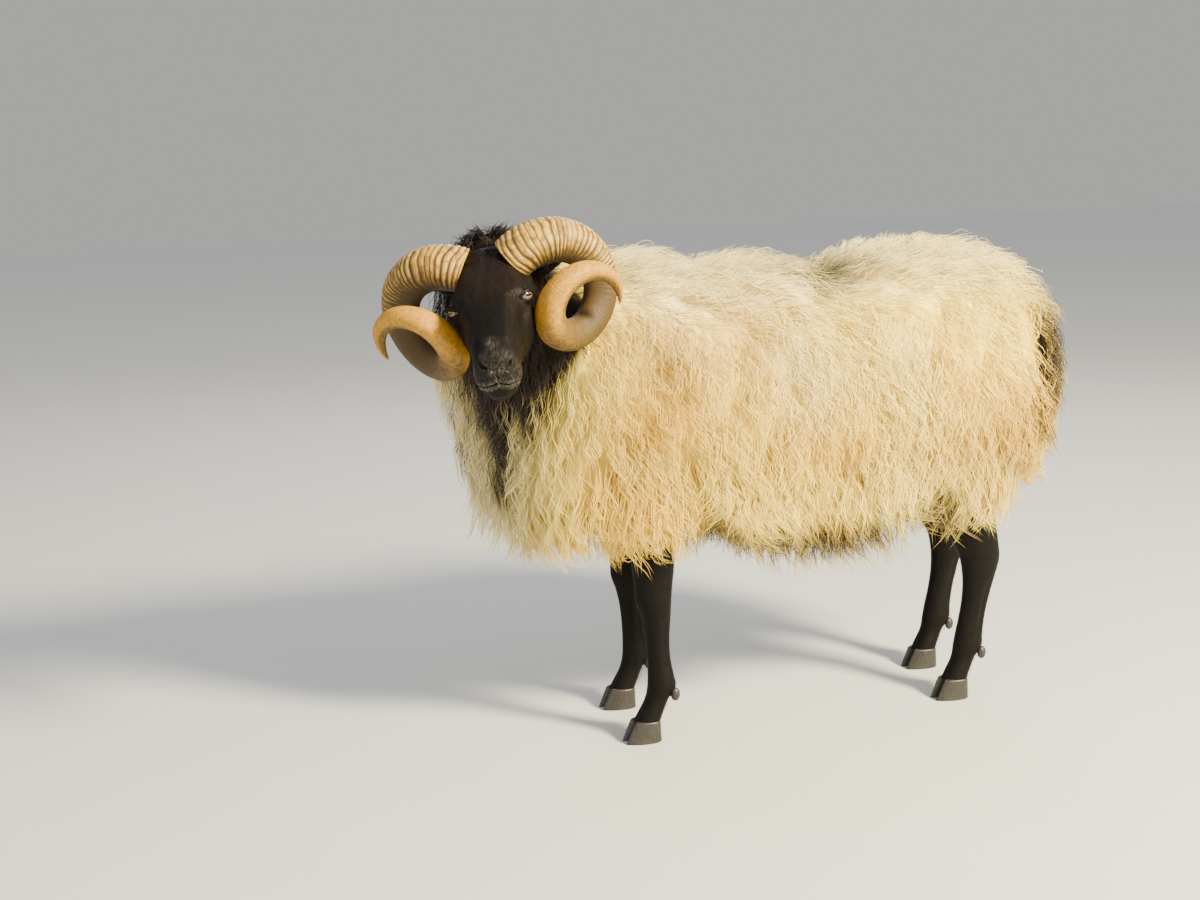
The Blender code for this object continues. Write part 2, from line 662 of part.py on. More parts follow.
def ear(name, side, grow=0.0):
    """A leaf-shaped ear, hollowed on its inner face, that lies back from behind the cheek."""
    way = unit(mirrored(EAR_WAY, side))
    hollow = unit(mirrored(EAR_HOLLOW, side))
    hollow = unit(hollow - np.dot(hollow, way) * way)
    across = np.cross(way, hollow)
    t = np.linspace(0.0, 1.0, 8)[:-1]
    half = 0.5 * EAR_WIDTH * (0.64 + 0.36 * np.sin(np.pi * np.minimum(t * 1.15 + 0.05, 1.0)))
    half = half * np.where(t > 0.6, np.sqrt(np.maximum(1.0 - ((t - 0.6) / 0.42) ** 2, 0.0)), 1.0) + grow
    centre = mirrored(EAR_ROOT, side) + t[:, None] * EAR_LENGTH * way
    centre[0] = centre[0] - grow * way
    arc = np.linspace(-1.0, 1.0, 5)
    depth = np.full(len(t), EAR_CUP)
    rings = []
    for here, wide, deep, share in zip(centre, half, depth, t):
        thick = EAR_THICKNESS * (1.35 - 0.6 * share) + 2 * grow
        outer = [here + across * wide * a + hollow * (deep * a * a - deep - 0.5 * thick) for a in arc]
        inner = [
            here + across * wide * a * 0.90 + hollow * (deep * a * a - deep + 0.5 * thick)
            for a in arc[::-1]
        ]
        rings.append(outer + inner)
    tip = centre[-1] + way * (0.006 + grow) - hollow * depth[-1]
    return loft(name, from_head(np.array(rings)), "black hair", end=from_head(tip))


def leg(name, grow=0.0):
    """A leg from inside the fleece down to the coronet, with two dew claws behind the fetlock."""
    x, y, sizes = LEG_PLACES[name]
    heights = sizes[:, 0].copy()
    heights[0] += grow
    heights[-1] -= grow
    angle = np.linspace(0.0, 2.0 * np.pi, LEG_SIDES, endpoint=False)
    rings = np.stack([
        x + sizes[:, 1:2] + (sizes[:, 2:3] + grow) * np.cos(angle),
        y + (sizes[:, 3:4] + grow) * np.sin(angle),
        np.repeat(heights[:, None], LEG_SIDES, axis=1),
    ], axis=-1)
    return loft(name, rings, "black hair")


def dew_claws(name):
    x, y, sizes = LEG_PLACES[name]
    height, shift, reach, _ = sizes[FETLOCK_ROW]
    made = []
    for across in (-DEW_SPREAD, DEW_SPREAD):
        centre = np.array([x + shift + reach - 0.001, y + across, height - DEW_BELOW])
        made.append(ball("dew", centre, np.eye(3)[[2, 0, 1]], DEW_SIZE, 3, 7, "claw"))
    return made


def claw(name, foot, side):
    """Half a cloven hoof: a flat sole, a sloping toe and a level coronet."""
    x, y, sizes = LEG_PLACES[foot]
    coronet_x = x + sizes[-1, 1]
    angle = np.linspace(0.0, 2.0 * np.pi, CLAW_SIDES, endpoint=False)
    rings = []
    for share in CLAW_LEVELS:
        length = 0.5 * CLAW_LENGTH * (1.0 - 0.30 * share) * (0.97 if share == 0 else 1.0)
        middle = coronet_x - CLAW_FORWARD * (1.0 - share) - 0.002
        width = 0.5 * CLAW_WIDTH * (1.0 - 0.10 * share) * (0.96 if share == 0 else 1.0)
        point = np.stack([
            middle + length * np.cos(angle),
            y + side * CLAW_SPREAD + width * np.sin(angle) * (1.0 + 0.22 * np.cos(angle)),
            np.full(len(angle), share * CLAW_HEIGHT),
        ], axis=-1)
        rings.append(point)
    return loft(name, np.array(rings), "claw")


def cuffs():
    """Stubs of flesh and wool that the tops of the legs stand in."""
    made = []
    for x, y, sizes in LEG_PLACES.values():
        angle = np.linspace(0.0, 2.0 * np.pi, LEG_SIDES, endpoint=False)
        rings = []
        for height, extra in CUFF_LEVELS:
            rings.append(np.stack([
                x + sizes[0, 1] + (sizes[0, 2] + extra) * np.cos(angle),
                y + (sizes[0, 3] + extra) * np.sin(angle),
                np.full(len(angle), height),
            ], axis=-1))
        made.append(loft("cuff", np.array(rings)))
    return made


def tail_frames(count):
    """Centres, half widths and axes (side, back, along) of the tail's rings."""
    share = np.linspace(0.0, 1.0, len(TAIL))
    table = np.column_stack([share, TAIL])
    x, z, half = between(table, np.linspace(0.0, 1.0, count)).T
    centre = np.stack([x, 0.0 * x, z], axis=-1)
    along = unit(np.gradient(centre, axis=0))
    side = np.tile([0.0, 1.0, 0.0], (count, 1))
    return centre, half, side, np.cross(along, side), along


def tail_core(name, grow=0.0):
    centre, half, side, back, along = tail_frames(9)
    angle = np.linspace(0.0, 2.0 * np.pi, TAIL_SIDES, endpoint=False)
    reach = (half + grow)[:, None, None]
    rings = centre[:, None] + reach * (
        np.cos(angle)[None, :, None] * side[:, None] + 0.8 * np.sin(angle)[None, :, None] * back[:, None]
    )
    rings[0] -= grow * along[0]
    rings[-1] += grow * along[-1]
    return loft(name, rings, "fleece")


def strip(name, line, normals, width, thickness, finish, grow=0.0):
    """One flat, tapered lock: a shallow three-sided section carried along its centreline to a point."""
    share = np.linspace(0.0, 1.0, len(line))
    wide = np.interp(share, LOCK_ALONG, LOCK_WIDTHS) * width * 0.5 + 3.0 * grow
    thick = np.interp(share, LOCK_ALONG, LOCK_THICKS) * thickness * 0.6 + grow
    along = unit(np.gradient(line, axis=0))
    normals = unit(normals - (normals * along).sum(axis=1, keepdims=True) * along)
    across = np.cross(along, normals)
    wide, thick = wide[:-1, None], thick[:-1, None]
    body, out, over = line[:-1], normals[:-1], across[:-1]
    cup = (LOCK_CUP * wide + grow) * out
    rings = np.stack([body + over * wide - cup, body + out * thick, body - over * wide - cup], axis=1)
    rings[0] -= 2.0 * grow * along[0]
    return loft(name, rings, finish, end=line[-1] + 4.0 * grow * along[-1])


def surface_of(piece):
    """A search tree of a core's surface."""
    mesh = piece.data
    return BVHTree.FromPolygons([v.co for v in mesh.vertices], [p.vertices for p in mesh.polygons])


def nearest(surface, point):
    place, normal, _, _ = surface.find_nearest(Vector(point))
    return np.array(place), np.array(normal)


def laid(surface, start, lie, length, lift):
    """A lock's centreline and normals: out of the surface, along it by its lie, hanging free under it."""
    place, normal = nearest(surface, start)
    line, normals = [place - LOCK_SINK * normal], [normal]
    here = place
    for step in range(1, LOCK_STEPS + 1):
        way = lie(here, normal)
        way = way - np.dot(way, normal) * normal * smooth_step(-0.75, -0.15, normal[2])
        here = here + unit(way) * length / LOCK_STEPS
        place, facing = nearest(surface, here)
        height = lift * smooth_step(-0.35, 0.45, step / LOCK_STEPS)
        away = np.dot(here - place, facing)
        hangs = facing[2] < -0.10
        away = max(away, height) if hangs else height
        here = place + facing * away if not hangs or away == height else here
        normal = unit(0.6 * normal + 0.4 * facing)
        line.append(here)
        normals.append(normal)
    picks = np.round(LOCK_ALONG * LOCK_STEPS).astype(int)
    return np.array(line)[picks], np.array(normals)[picks]


def fleece_lie(here, normal):
    """The lie of the fleece: away from the spine, down the flank and a little to the rear."""
    rearward = 0.10 + 0.45 * smooth_step(0.30, 0.50, here[0]) + 0.55 * max(normal[2], 0.0) ** 2
    return np.array([rearward, 0.65 * np.sign(here[1] + 1e-6) * max(normal[2], 0.0), -1.0])


def behind_shoulder(line, side, clearance):
    """Moves points clear of the shoulder plane, to the trunk's side (-1) or the neck's (+1)."""
    reach = (line - SHOULDER_POINT) @ SHOULDER_NORMAL * side
    return line + np.outer(np.maximum(clearance - reach, 0.0) * side, SHOULDER_NORMAL)


def varied(draw, *sizes):
    """Each size changed a little at random."""
    return [size * (1.0 + LOCK_VARIATION * draw.uniform(-1.0, 1.0)) for size in sizes]


def trunk_locks(surface):
    """Fleece locks in staggered rows down both flanks, under the belly and round the rump."""
    draw = np.random.default_rng(SEED)
    made = []

    def add(start, length, lift, width, thickness):
        length, lift, width, thickness = varied(draw, length, lift, width, thickness)
        start = behind_shoulder(start[None], -1.0, ROOT_CLEARANCE)[0]
        line, normals = laid(surface, start, fleece_lie, length, lift)
        line = behind_shoulder(line, -1.0, LOCK_CLEARANCE)
        made.append(strip("lock", line, normals, width, thickness, "fleece"))

    columns = int(round((FLEECE_REAR - FLEECE_FRONT) / FLEECE_SPACING))
    for row, (angle, *sizes) in enumerate(FLEECE_ROWS + BELLY_ROWS):
        for side in (1, -1):
            for column in range(columns + 1):
                shift = 0.5 * (row % 2) + draw.uniform(-0.15, 0.15)
                turn = np.radians(angle + draw.uniform(-4.0, 4.0))
                x = FLEECE_FRONT + (column + shift) * FLEECE_SPACING
                x += SHOULDER_LEAN * FLEECE_REACH * min(np.cos(turn), 0.6) * (1.0 - column / columns)
                across, up = side * FLEECE_REACH * np.sin(turn), FLEECE_REACH * np.cos(turn)
                start = np.array([x, across, TRUNK_MIDDLE + up])
                if angle > 130 and near_leg(x, 0.08):
                    continue
                add(start, *sizes)
    for rise, length in RUMP_ROWS:
        for turn in RUMP_TURNS:
            for side in (1, -1):
                level, up = np.radians(turn), np.radians(rise)
                way = np.array([np.cos(level) * np.cos(up), side * np.sin(level) * np.cos(up), np.sin(up)])
                add(RUMP_CENTRE + 0.35 * way, length, *RUMP_LOCK)
    return made


def near_leg(x, reach):
    return any(abs(x - place[0]) < reach for place in LEG_PLACES.values())


def ruff_lie(here, normal):
    """The lie of the ruff: back along the crest, and straight down the sides and breast."""
    crest = smooth_step(0.35, 0.85, normal[2])
    return (1.0 - crest) * np.array([0.10, 0.0, -1.0]) + crest * np.array([0.85, 0.25, 0.0])


def clear_of_horns(line, thickness):
    """Bends a lock's centreline round the horns."""
    t = np.linspace(0.0, 1.0, 60)
    radii = between(HORN_RADII, t)[:, 0]
    bent = line.copy()
    for side in (1, -1):
        coil, _ = horn_line(t, side)
        for i in range(1, len(bent)):
            away = bent[i] - coil
            far = np.linalg.norm(away, axis=1)
            short = radii + thickness + HORN_CLEARANCE - far
            k = int(np.argmax(short))
            if short[k] > 0:
                bent[i] = bent[i] + away[k] / far[k] * short[k]
    return bent


def neck_locks(surface):
    """Ruff locks in staggered rings round the nape and sides, and in rows down the breast."""
    draw = np.random.default_rng(SEED + 1)
    made = []

    def add(start, length):
        length, lift, width, thickness = varied(draw, length, *RUFF_LOCK)
        start = behind_shoulder(start[None], 1.0, ROOT_CLEARANCE)[0]
        line, normals = laid(surface, start, ruff_lie, length, lift)
        line = behind_shoulder(clear_of_horns(line, 0.5 * thickness), 1.0, LOCK_CLEARANCE)
        made.append(strip("lock", line, normals, width, thickness, "ruff"))

    centre, side, up, _ = neck_frames(101)
    for share, length, angles in RUFF_ROWS:
        k = int(round(share * 100))
        for angle in angles:
            for flip in ((1,) if angle == 0 else (1, -1)):
                turn = np.radians(angle + draw.uniform(-5.0, 5.0)) * flip
                add(centre[k] + RUFF_REACH * (np.sin(turn) * side[k] + np.cos(turn) * up[k]), length)
    for row, (height, length) in enumerate(BIB_ROWS):
        for angle in BIB_TURNS:
            turn = np.radians(angle + 18 * (row % 2) + draw.uniform(-6.0, 6.0))
            way = np.array([-np.cos(turn), np.sin(turn)])
            add(np.array([*(BIB_CENTRE + RUFF_REACH * way), height]), length)
    return made


def tail_locks(surface, grow=0.0):
    """Curly locks that hang round the back and sides of the tail."""
    draw = np.random.default_rng(SEED + 2)
    made = []
    centre, _, side, back, _ = tail_frames(101)
    for share in TAIL_ROWS:
        k = int(round(share * 100))
        for angle in TAIL_ANGLES:
            turn = np.radians(angle + draw.uniform(-8.0, 8.0))
            start = centre[k] + 0.06 * (np.cos(turn) * side[k] + np.sin(turn) * back[k])
            length, lift, width, thickness = varied(draw, *TAIL_LOCK)
            line, normals = laid(surface, start, fleece_lie, length, lift)
            made.append(strip("lock", line, normals, width, thickness, "fleece", grow))
    return made


def half_space(side):
    """A large block on one side of the shoulder plane: everything that the other piece may hold."""
    along = unit([SHOULDER_LEAN, 0.0, 1.0])
    near = SHOULDER_POINT - side * 0.5 * GAP * SHOULDER_NORMAL
    rings = []
    for reach in (0.0, 0.9):
        middle = near + side * reach * SHOULDER_NORMAL
        rings.append([middle + a * along + b * np.array([0.0, 1.0, 0.0])
                      for a, b in ((-0.8, -0.6), (-0.8, 0.6), (0.8, 0.6), (0.8, -0.6))])
    return loft("cut", np.array(rings))


def centred(pieces):
    """Moves all the pieces level, so that the middle of their box on the floor is the origin."""
    corners = np.array([vertex.co for piece in pieces for vertex in piece.data.vertices])
    middle = 0.5 * (corners.min(axis=0) + corners.max(axis=0))
    shift = Matrix.Translation((-middle[0], -middle[1], -corners[:, 2].min()))
    for piece in pieces:
        piece.data.transform(shift)


def main():
    for old in list(bpy.data.objects):
        bpy.data.objects.remove(old)
    torso = trunk_core()
    trunk = surface_of(torso)
    combined(torso, cuffs() + trunk_locks(trunk), "UNION")
    combined(torso, [half_space(1)], "DIFFERENCE")
    neck = neck_core()
    combined(neck, neck_locks(surface_of(neck)), "UNION")
    cutters = [half_space(-1), head_shell("cut", GAP)]
    cutters += [horn("cut", side, GAP) for side in (1, -1)]
    cutters += [ear("cut", side, 3.0 * GAP) for side in (1, -1)]
    combined(neck, cutters, "DIFFERENCE")
    head = head_shell("head")
    lids = [eyelid(side, upper) for side in (1, -1) for upper in (True, False)]
    combined(head, lids, "UNION")
    cutters = [horn("cut", side, GAP) for side in (1, -1)]
    cutters += [eyeball("cut", side, GAP) for side in (1, -1)]
    cutters += [ear("cut", side, 3.0 * GAP) for side in (1, -1)]
    cutters += [nostril(side) for side in (1, -1)] + [mouth_line(), lip_cleft()]
    combined(head, cutters, "DIFFERENCE")
    for side, word in ((1, "left"), (-1, "right")):
        horn("horn_" + word, side)
        ear("ear_" + word, side)
        eyeball("eye_" + word, side)
    for name in LEG_PLACES:
        piece = leg(name)
        combined(piece, dew_claws(name), "UNION")
        for side, word in ((-1, "outer"), (1, "inner")):
            facing = side if LEG_PLACES[name][1] < 0 else -side
            claw(name.replace("leg", "claw") + "_" + word, name, facing)
    tail = tail_core("tail")
    tail_surface = surface_of(tail)
    combined(tail, tail_locks(tail_surface), "UNION")
    cutters = [leg(name, GAP) for name in LEG_PLACES] + [tail_core("cut", GAP)]
    combined(torso, cutters + tail_locks(tail_surface, GAP), "DIFFERENCE")
    centred(list(bpy.data.objects))


main()
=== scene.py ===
"""Looks of a life-size Blackface ram: skin, head, horns, hooves and a fleece of mesh strands.

Shapes are worked out in the modelling frame (the ram faces -X, its left side is -Y, floor at z = 0) and
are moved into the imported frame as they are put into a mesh. Metres throughout.
"""

import bpy
import numpy as np
from bpy.props import (
    FloatProperty,
    FloatVectorProperty,
    IntProperty,
    PointerProperty,
)
from bpy.types import Operator, Panel, PropertyGroup
from mathutils import Matrix, Vector


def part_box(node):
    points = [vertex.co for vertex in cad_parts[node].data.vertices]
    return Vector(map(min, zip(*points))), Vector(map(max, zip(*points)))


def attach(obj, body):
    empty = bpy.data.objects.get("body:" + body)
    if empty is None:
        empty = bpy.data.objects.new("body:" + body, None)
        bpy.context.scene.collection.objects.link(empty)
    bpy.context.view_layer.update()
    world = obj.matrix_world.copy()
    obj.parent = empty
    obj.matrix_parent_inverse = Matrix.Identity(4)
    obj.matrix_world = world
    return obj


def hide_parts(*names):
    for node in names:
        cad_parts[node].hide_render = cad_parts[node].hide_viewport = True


bl_info = {
    "name": "Blackface Ram",
    "version": (1, 0, 0),
    "blender": (4, 5, 0),
    "location": "View3D > Sidebar > Ram",
    "description": "Builds the skin, horns, hooves and fleece of a life-size ram",
    "category": "Add Mesh",
}

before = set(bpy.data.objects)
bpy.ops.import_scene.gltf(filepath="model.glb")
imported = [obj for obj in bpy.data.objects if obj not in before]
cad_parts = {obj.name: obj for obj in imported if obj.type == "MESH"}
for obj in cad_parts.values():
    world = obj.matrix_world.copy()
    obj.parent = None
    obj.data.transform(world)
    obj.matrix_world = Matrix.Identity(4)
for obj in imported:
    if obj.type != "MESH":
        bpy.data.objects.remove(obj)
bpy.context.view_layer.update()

# Trunk under the fleece: station x, half width, top, bottom
TRUNK = np.array([
    (-0.400, 0.146, 0.780, 0.412),
    (-0.280, 0.172, 0.786, 0.396),
    (-0.180, 0.186, 0.764, 0.388),
    (-0.050, 0.194, 0.772, 0.385),
    (0.045, 0.196, 0.745, 0.384),
    (0.150, 0.196, 0.778, 0.392),
    (0.270, 0.190, 0.784, 0.404),
    (0.360, 0.174, 0.766, 0.416),
    (0.425, 0.138, 0.724, 0.438),
    (0.462, 0.088, 0.676, 0.476),
])
BODY_SQUARENESS = 2.35
SHOULDER_POINT = np.array([-0.366, 0.0, 0.587])
SHOULDER_NORMAL = np.array([-0.947, 0.0, 0.322])

# Head: where the poll is, and how the head is turned, pitched down and rolled
POLL = np.array([-0.585, -0.1425, 0.837])
HEAD_TURN = np.radians(74.0)
HEAD_PITCH = np.radians(30.0)
HEAD_ROLL = np.radians(14.5)
OCCIPUT = (0.0, -0.030, -0.066)

# Head sections in its own frame: forward, half width, top, bottom
SKULL = np.array([
    (-0.050, 0.036, -0.034, -0.112),
    (-0.036, 0.047, -0.016, -0.128),
    (-0.012, 0.055, -0.001, -0.143),
    (0.020, 0.059, 0.004, -0.149),
    (0.055, 0.0605, 0.006, -0.147),
    (0.085, 0.0610, 0.0065, -0.141),
    (0.107, 0.0595, 0.0045, -0.134),
    (0.130, 0.0530, 0.0015, -0.125),
    (0.160, 0.0430, -0.0020, -0.1150),
    (0.190, 0.0375, -0.0062, -0.1100),
    (0.215, 0.0350, -0.0115, -0.1070),
    (0.234, 0.0332, -0.0180, -0.1035),
    (0.246, 0.0290, -0.0265, -0.0970),
    (0.253, 0.0215, -0.0370, -0.0880),
])
NOSE_TIP = np.array([0.0, 0.2575, -0.0570])
NOSE_RINGS = 12

# Eyes, nostrils and mouth, in the head's frame for the left side (left, forward, up)
EYE_CENTRE = np.array([0.0515, 0.0970, -0.0285])
EYE_OUTWARD = np.array([0.74, 0.58, 0.32])
EYE_AHEAD = np.array([0.0, 1.0, 0.55])
EYE_RADIUS = 0.0140
EYE_DOME = 0.0007
PUPIL_HALVES = (0.40, 0.125)
NOSTRIL_CENTRE = np.array([0.0165, 0.2430, -0.0335])
NOSTRIL_OUTWARD = np.array([0.55, 0.80, 0.20])
NOSTRIL_SLANT = np.array([0.78, -0.42, 0.36])
MOUTH_FRONT = np.array([0.0, 0.2570, -0.0575])
MOUTH_CORNER = np.array([0.0345, 0.2140, -0.0715])

# Lids and sockets: half openings as angles seen from the middle of the eye
LID_HALF_TURN = 0.82
LID_OPEN_UPPER = 0.27
LID_OPEN_LOWER = 0.34
LID_TILT = -0.02
SOCKET_HALF_TURN = 0.95
SOCKET_HALF_HEIGHT = 0.66

# The muzzle is turned a little about its own length, as a chewing sheep's is
MUZZLE_TURN = np.radians(8.0)
MUZZLE_MIDDLE = -0.0650

# Horn: a widening coil about an axis that leans out and forward from the head
HORN_START = np.array([0.0752, -0.0113, -0.0819])
HORN_AXIS = np.array([1.0, 1.468, 0.032])
HORN_COIL = 0.0747
HORN_SHRINK = 0.0444
HORN_RISE = 0.0241
HORN_RISE_FADE = -0.00106
HORN_PHASE = 1.027
HORN_TURN = 8.807
HORN_RADII = np.array([
    (0.00, 0.0365), (0.10, 0.0355), (0.25, 0.0290), (0.42, 0.0265),
    (0.58, 0.0250), (0.72, 0.0205), (0.85, 0.0150), (0.95, 0.0085), (1.00, 0.0040),
])
HORN_RIBBED = 0.56
HORN_RIBS = 50
HORN_RIB_HEIGHT = 0.0020

# Ears: root and the way they lie back, in the head's frame
EAR_ROOT = np.array([0.0500, 0.0000, -0.0700])
EAR_WAY = np.array([0.66, -0.68, -0.30])
EAR_LENGTH = 0.100
EAR_WIDTH = 0.046
EAR_CUP = 0.0095

# Legs: height, x, y, half size along x and along y, from the top down
FRONT_LEG = np.array([
    (0.400, -0.004, 0.0460, 0.0340),
    (0.300, -0.004, 0.0365, 0.0285),
    (0.262, -0.004, 0.0320, 0.0265),
    (0.240, -0.004, 0.0300, 0.0260),
    (0.215, -0.001, 0.0255, 0.0225),
    (0.180, 0.001, 0.0210, 0.0185),
    (0.140, 0.003, 0.0200, 0.0175),
    (0.110, 0.006, 0.0225, 0.0195),
    (0.092, 0.007, 0.0240, 0.0210),
    (0.070, -0.003, 0.0205, 0.0195),
    (0.050, -0.013, 0.0215, 0.0210),
    (0.0340, -0.021, 0.0230, 0.0225),
])
HIND_LEG = np.array([
    (0.400, -0.034, 0.0620, 0.0370),
    (0.320, -0.008, 0.0520, 0.0315),
    (0.280, 0.008, 0.0430, 0.0280),
    (0.250, 0.017, 0.0365, 0.0255),
    (0.222, 0.015, 0.0310, 0.0230),
    (0.185, 0.009, 0.0255, 0.0200),
    (0.145, 0.001, 0.0240, 0.0190),
    (0.112, -0.005, 0.0255, 0.0205),
    (0.094, -0.007, 0.0260, 0.0215),
    (0.071, -0.017, 0.0215, 0.0195),
    (0.050, -0.027, 0.0220, 0.0210),
    (0.0340, -0.034, 0.0230, 0.0225),
])
LEG_PLACES = {
    "front_left": (-0.296, -0.095, FRONT_LEG),
    "front_right": (-0.272, 0.095, FRONT_LEG),
    "hind_left": (0.306, -0.095, HIND_LEG),
    "hind_right": (0.350, 0.095, HIND_LEG),
}
FETLOCK_ROW = 8

# Claws: two to a foot, each a flat-soled half hoof
CLAW_HEIGHT = 0.0375
CLAW_LENGTH = 0.062
CLAW_WIDTH = 0.0225
CLAW_SPREAD = 0.0128
CLAW_FORWARD = 0.008
DEW_CLAW_HALVES = (0.0082, 0.0062, 0.0115)
DEW_CLAW_SPREAD = 0.0125

# Tail from root to tip: x, z and half width
TAIL = np.array([
    (0.425, 0.680, 0.024), (0.472, 0.655, 0.030), (0.496, 0.600, 0.032),
    (0.500, 0.530, 0.031), (0.496, 0.460, 0.028), (0.486, 0.400, 0.024), (0.474, 0.355, 0.014),
])

# Neck under the ruff: share of the way to the head, half width, reach above and below
NECK_SIZES = np.array([
    (0.0, 0.150, 0.190, 0.186),
    (0.25, 0.154, 0.156, 0.250),
    (0.50, 0.142, 0.112, 0.256),
    (0.75, 0.102, 0.086, 0.198),
    (1.0, 0.058, 0.061, 0.100),
])
BREAST = np.array([-0.034, 0.012, -0.018])

# Core of the body: sides of its tubes, size of its squares, how often smoothed, and its made-once store
CORE_SIDES = 64
CORE_VOXEL = 0.0075
CORE_SMOOTHING = 10
CACHE = {}

# Patches in the wool: place (the side counts as its own mirror), reach, and how dark, tan and grey
WOOL_PATCHES = np.array([
    (-0.275, 0.20, 0.750, 0.050, 0.10, 0.050, 0.16, 0.30, 0.40),
    (0.015, 0.06, 0.762, 0.045, 0.14, 0.030, 0.46, 0.35, 0.40),
    (0.080, 0.06, 0.785, 0.050, 0.14, 0.026, 0.40, 0.30, 0.40),
    (-0.052, 0.22, 0.611, 0.050, 0.10, 0.060, 0.05, 0.00, 0.40),
    (0.432, 0.16, 0.650, 0.032, 0.10, 0.070, 1.00, 0.20, 0.00),
    (0.420, 0.16, 0.500, 0.030, 0.10, 0.090, 0.45, 0.50, 0.00),
    (-0.500, 0.02, 0.675, 0.060, 0.09, 0.062, 1.10, 0.00, 0.00),
    (-0.475, 0.00, 0.605, 0.050, 0.06, 0.045, 0.95, 0.00, 0.00),
    (-0.085, 0.20, 0.665, 0.035, 0.10, 0.050, 0.10, 0.10, 0.45),
    (0.105, 0.20, 0.640, 0.045, 0.10, 0.040, 0.06, 0.05, 0.45),
    (-0.170, 0.20, 0.735, 0.050, 0.10, 0.030, 0.14, 0.30, 0.30),
    (-0.350, 0.20, 0.560, 0.060, 0.10, 0.090, 0.00, 0.55, 0.00),
    (-0.300, 0.20, 0.660, 0.020, 0.10, 0.110, 0.06, 0.45, 0.00),
    (0.250, 0.21, 0.480, 0.120, 0.10, 0.060, 0.00, 0.45, 0.00),
    (0.380, 0.18, 0.480, 0.060, 0.12, 0.100, 0.00, 0.55, 0.00),
    (-0.200, 0.20, 0.680, 0.090, 0.10, 0.050, 0.00, 0.30, 0.15),
    # The last three rows darken the wool under the belly and in the notches by the legs: partly browner wool,
    # partly painted shade.
    (-0.010, 0.12, 0.318, 0.130, 0.16, 0.030, 1.00, 0.20, 0.00),
    (-0.215, 0.12, 0.350, 0.035, 0.12, 0.028, 0.70, 0.30, 0.00),
    (0.195, 0.12, 0.370, 0.045, 0.12, 0.032, 0.75, 0.20, 0.00),
])
# Brown wool and painted shadow of the left horn's coil on the neck behind it: its middle and reach
COIL_SHADE = np.array([-0.450, -0.165, 0.790])
COIL_SHADE_REACH = (0.050, 0.105)
# Upright bands of dark wool on the breast: how far to the side, half width, lowest and highest
BREAST_BANDS = ((-0.010, 0.018, 0.40, 0.62), (0.085, 0.008, 0.42, 0.58), (-0.075, 0.007, 0.50, 0.60))

# Guides that the wool follows: steps, waves along one, their height, and the hook at the tip
GUIDE_STEPS = 11
WAVES = 1.5
WAVE_HEIGHT = 0.075
HOOK_START = 0.58
HOOK_TURN = 1.5

# The hem of the coat along the body: x and height, with notches behind the front leg and before the hind
HEM = np.array([
    (-0.540, 0.325), (-0.485, 0.292), (-0.415, 0.300), (-0.330, 0.318), (-0.245, 0.308), (-0.213, 0.350),
    (-0.180, 0.302), (-0.110, 0.276), (0.032, 0.250), (0.120, 0.266), (0.165, 0.322), (0.215, 0.306),
    (0.290, 0.312), (0.345, 0.310), (0.405, 0.375), (0.440, 0.440),
])
HEM_START = 0.60
HEM_REACH = (0.055, 0.175)
HEM_UNEVEN = 0.013
LOWEST_ROOT = 0.37

# Strands: places along one, how flat its section is, and how a clump spreads at root and tip
STRAND_POINTS = np.array([0.0, 0.22, 0.42, 0.60, 0.74, 0.87, 1.0])
STRAND_FLATNESS = 0.42
ROOT_SPREAD = 0.0080
TIP_SPREAD = 0.0024
STRANDS_PER_CLUMP = 5

# Width of a strand's own patch in the map that its colours are kept in
PATCH = 0.003

# Pieces of the coat, in the order of their numbers
COAT_NAMES = [
    "ruff_left", "ruff_right", "fleece_fore_left", "fleece_fore_right", "fleece_middle_left",
    "fleece_middle_right", "fleece_rear_left", "fleece_rear_right", "tail_wool",
]

# Short hair: fineness of its grain, and tufts on the face, on each leg and on each ear
HAIR_GRAIN = 900.0
FACE_TUFTS = 11000
LEG_TUFTS = 1500
EAR_TUFTS = 700

# Black hair on the nape: the middle of where it grows, how far from it, and how many tufts at most
CREST_MIDDLE = np.array([0.0, -0.065, -0.015])
CREST_REACH = 0.100
CREST_TUFTS = 4500

# Camera: place, turns, lens and sensor width
CAMERA_PLACE = np.array([-1.330, -2.831, 1.0146])
CAMERA_YAW = np.radians(-19.0)
CAMERA_PITCH = np.radians(-10.0)
CAMERA_ROLL = np.radians(-1.5)
CAMERA_LENS = 54.0
CAMERA_SENSOR = 36.0

# Lamps: name, place, size, watts and colour; each is aimed at the middle of the body
LAMPS = (
    ("key", (2.10, -3.30, 3.00), 1.0, 1300.0, (1.0, 0.87, 0.56)),
    ("fill", (-3.40, -2.20, 1.90), 3.0, 60.0, (1.0, 0.97, 0.92)),
    ("back", (1.20, 3.20, 2.80), 2.4, 65.0, (1.0, 0.97, 0.93)),
)
LAMP_AIM = np.array([-0.05, 0.0, 0.55])
WORLD_COLOUR = (0.89, 0.88, 0.86)
WORLD_STRENGTH = 0.85
WORLD_SEEN = 0.52

SEED = 23


def between(table, at):
    """A smooth curve through a table's rows, read at the values given: column 0 is the position.

    Each span is a cubic whose end slopes are the table's own central differences.
    """
    places, values = table[:, 0], table[:, 1:]
    slopes = np.gradient(values, places, axis=0)
    at = np.clip(np.asarray(at, float), places[0], places[-1])
    i = np.clip(np.searchsorted(places, at, side="right") - 1, 0, len(places) - 2)
    span = (places[i + 1] - places[i])[:, None]
    t = (at - places[i])[:, None] / span
    bend_in, bend_out = slopes[i] * span, slopes[i + 1] * span
    return (
        values[i] * (1 + 2 * t) * (1 - t) ** 2
        + bend_in * t * (1 - t) ** 2
        + values[i + 1] * t ** 2 * (3 - 2 * t)
        + bend_out * t ** 2 * (t - 1)
    )


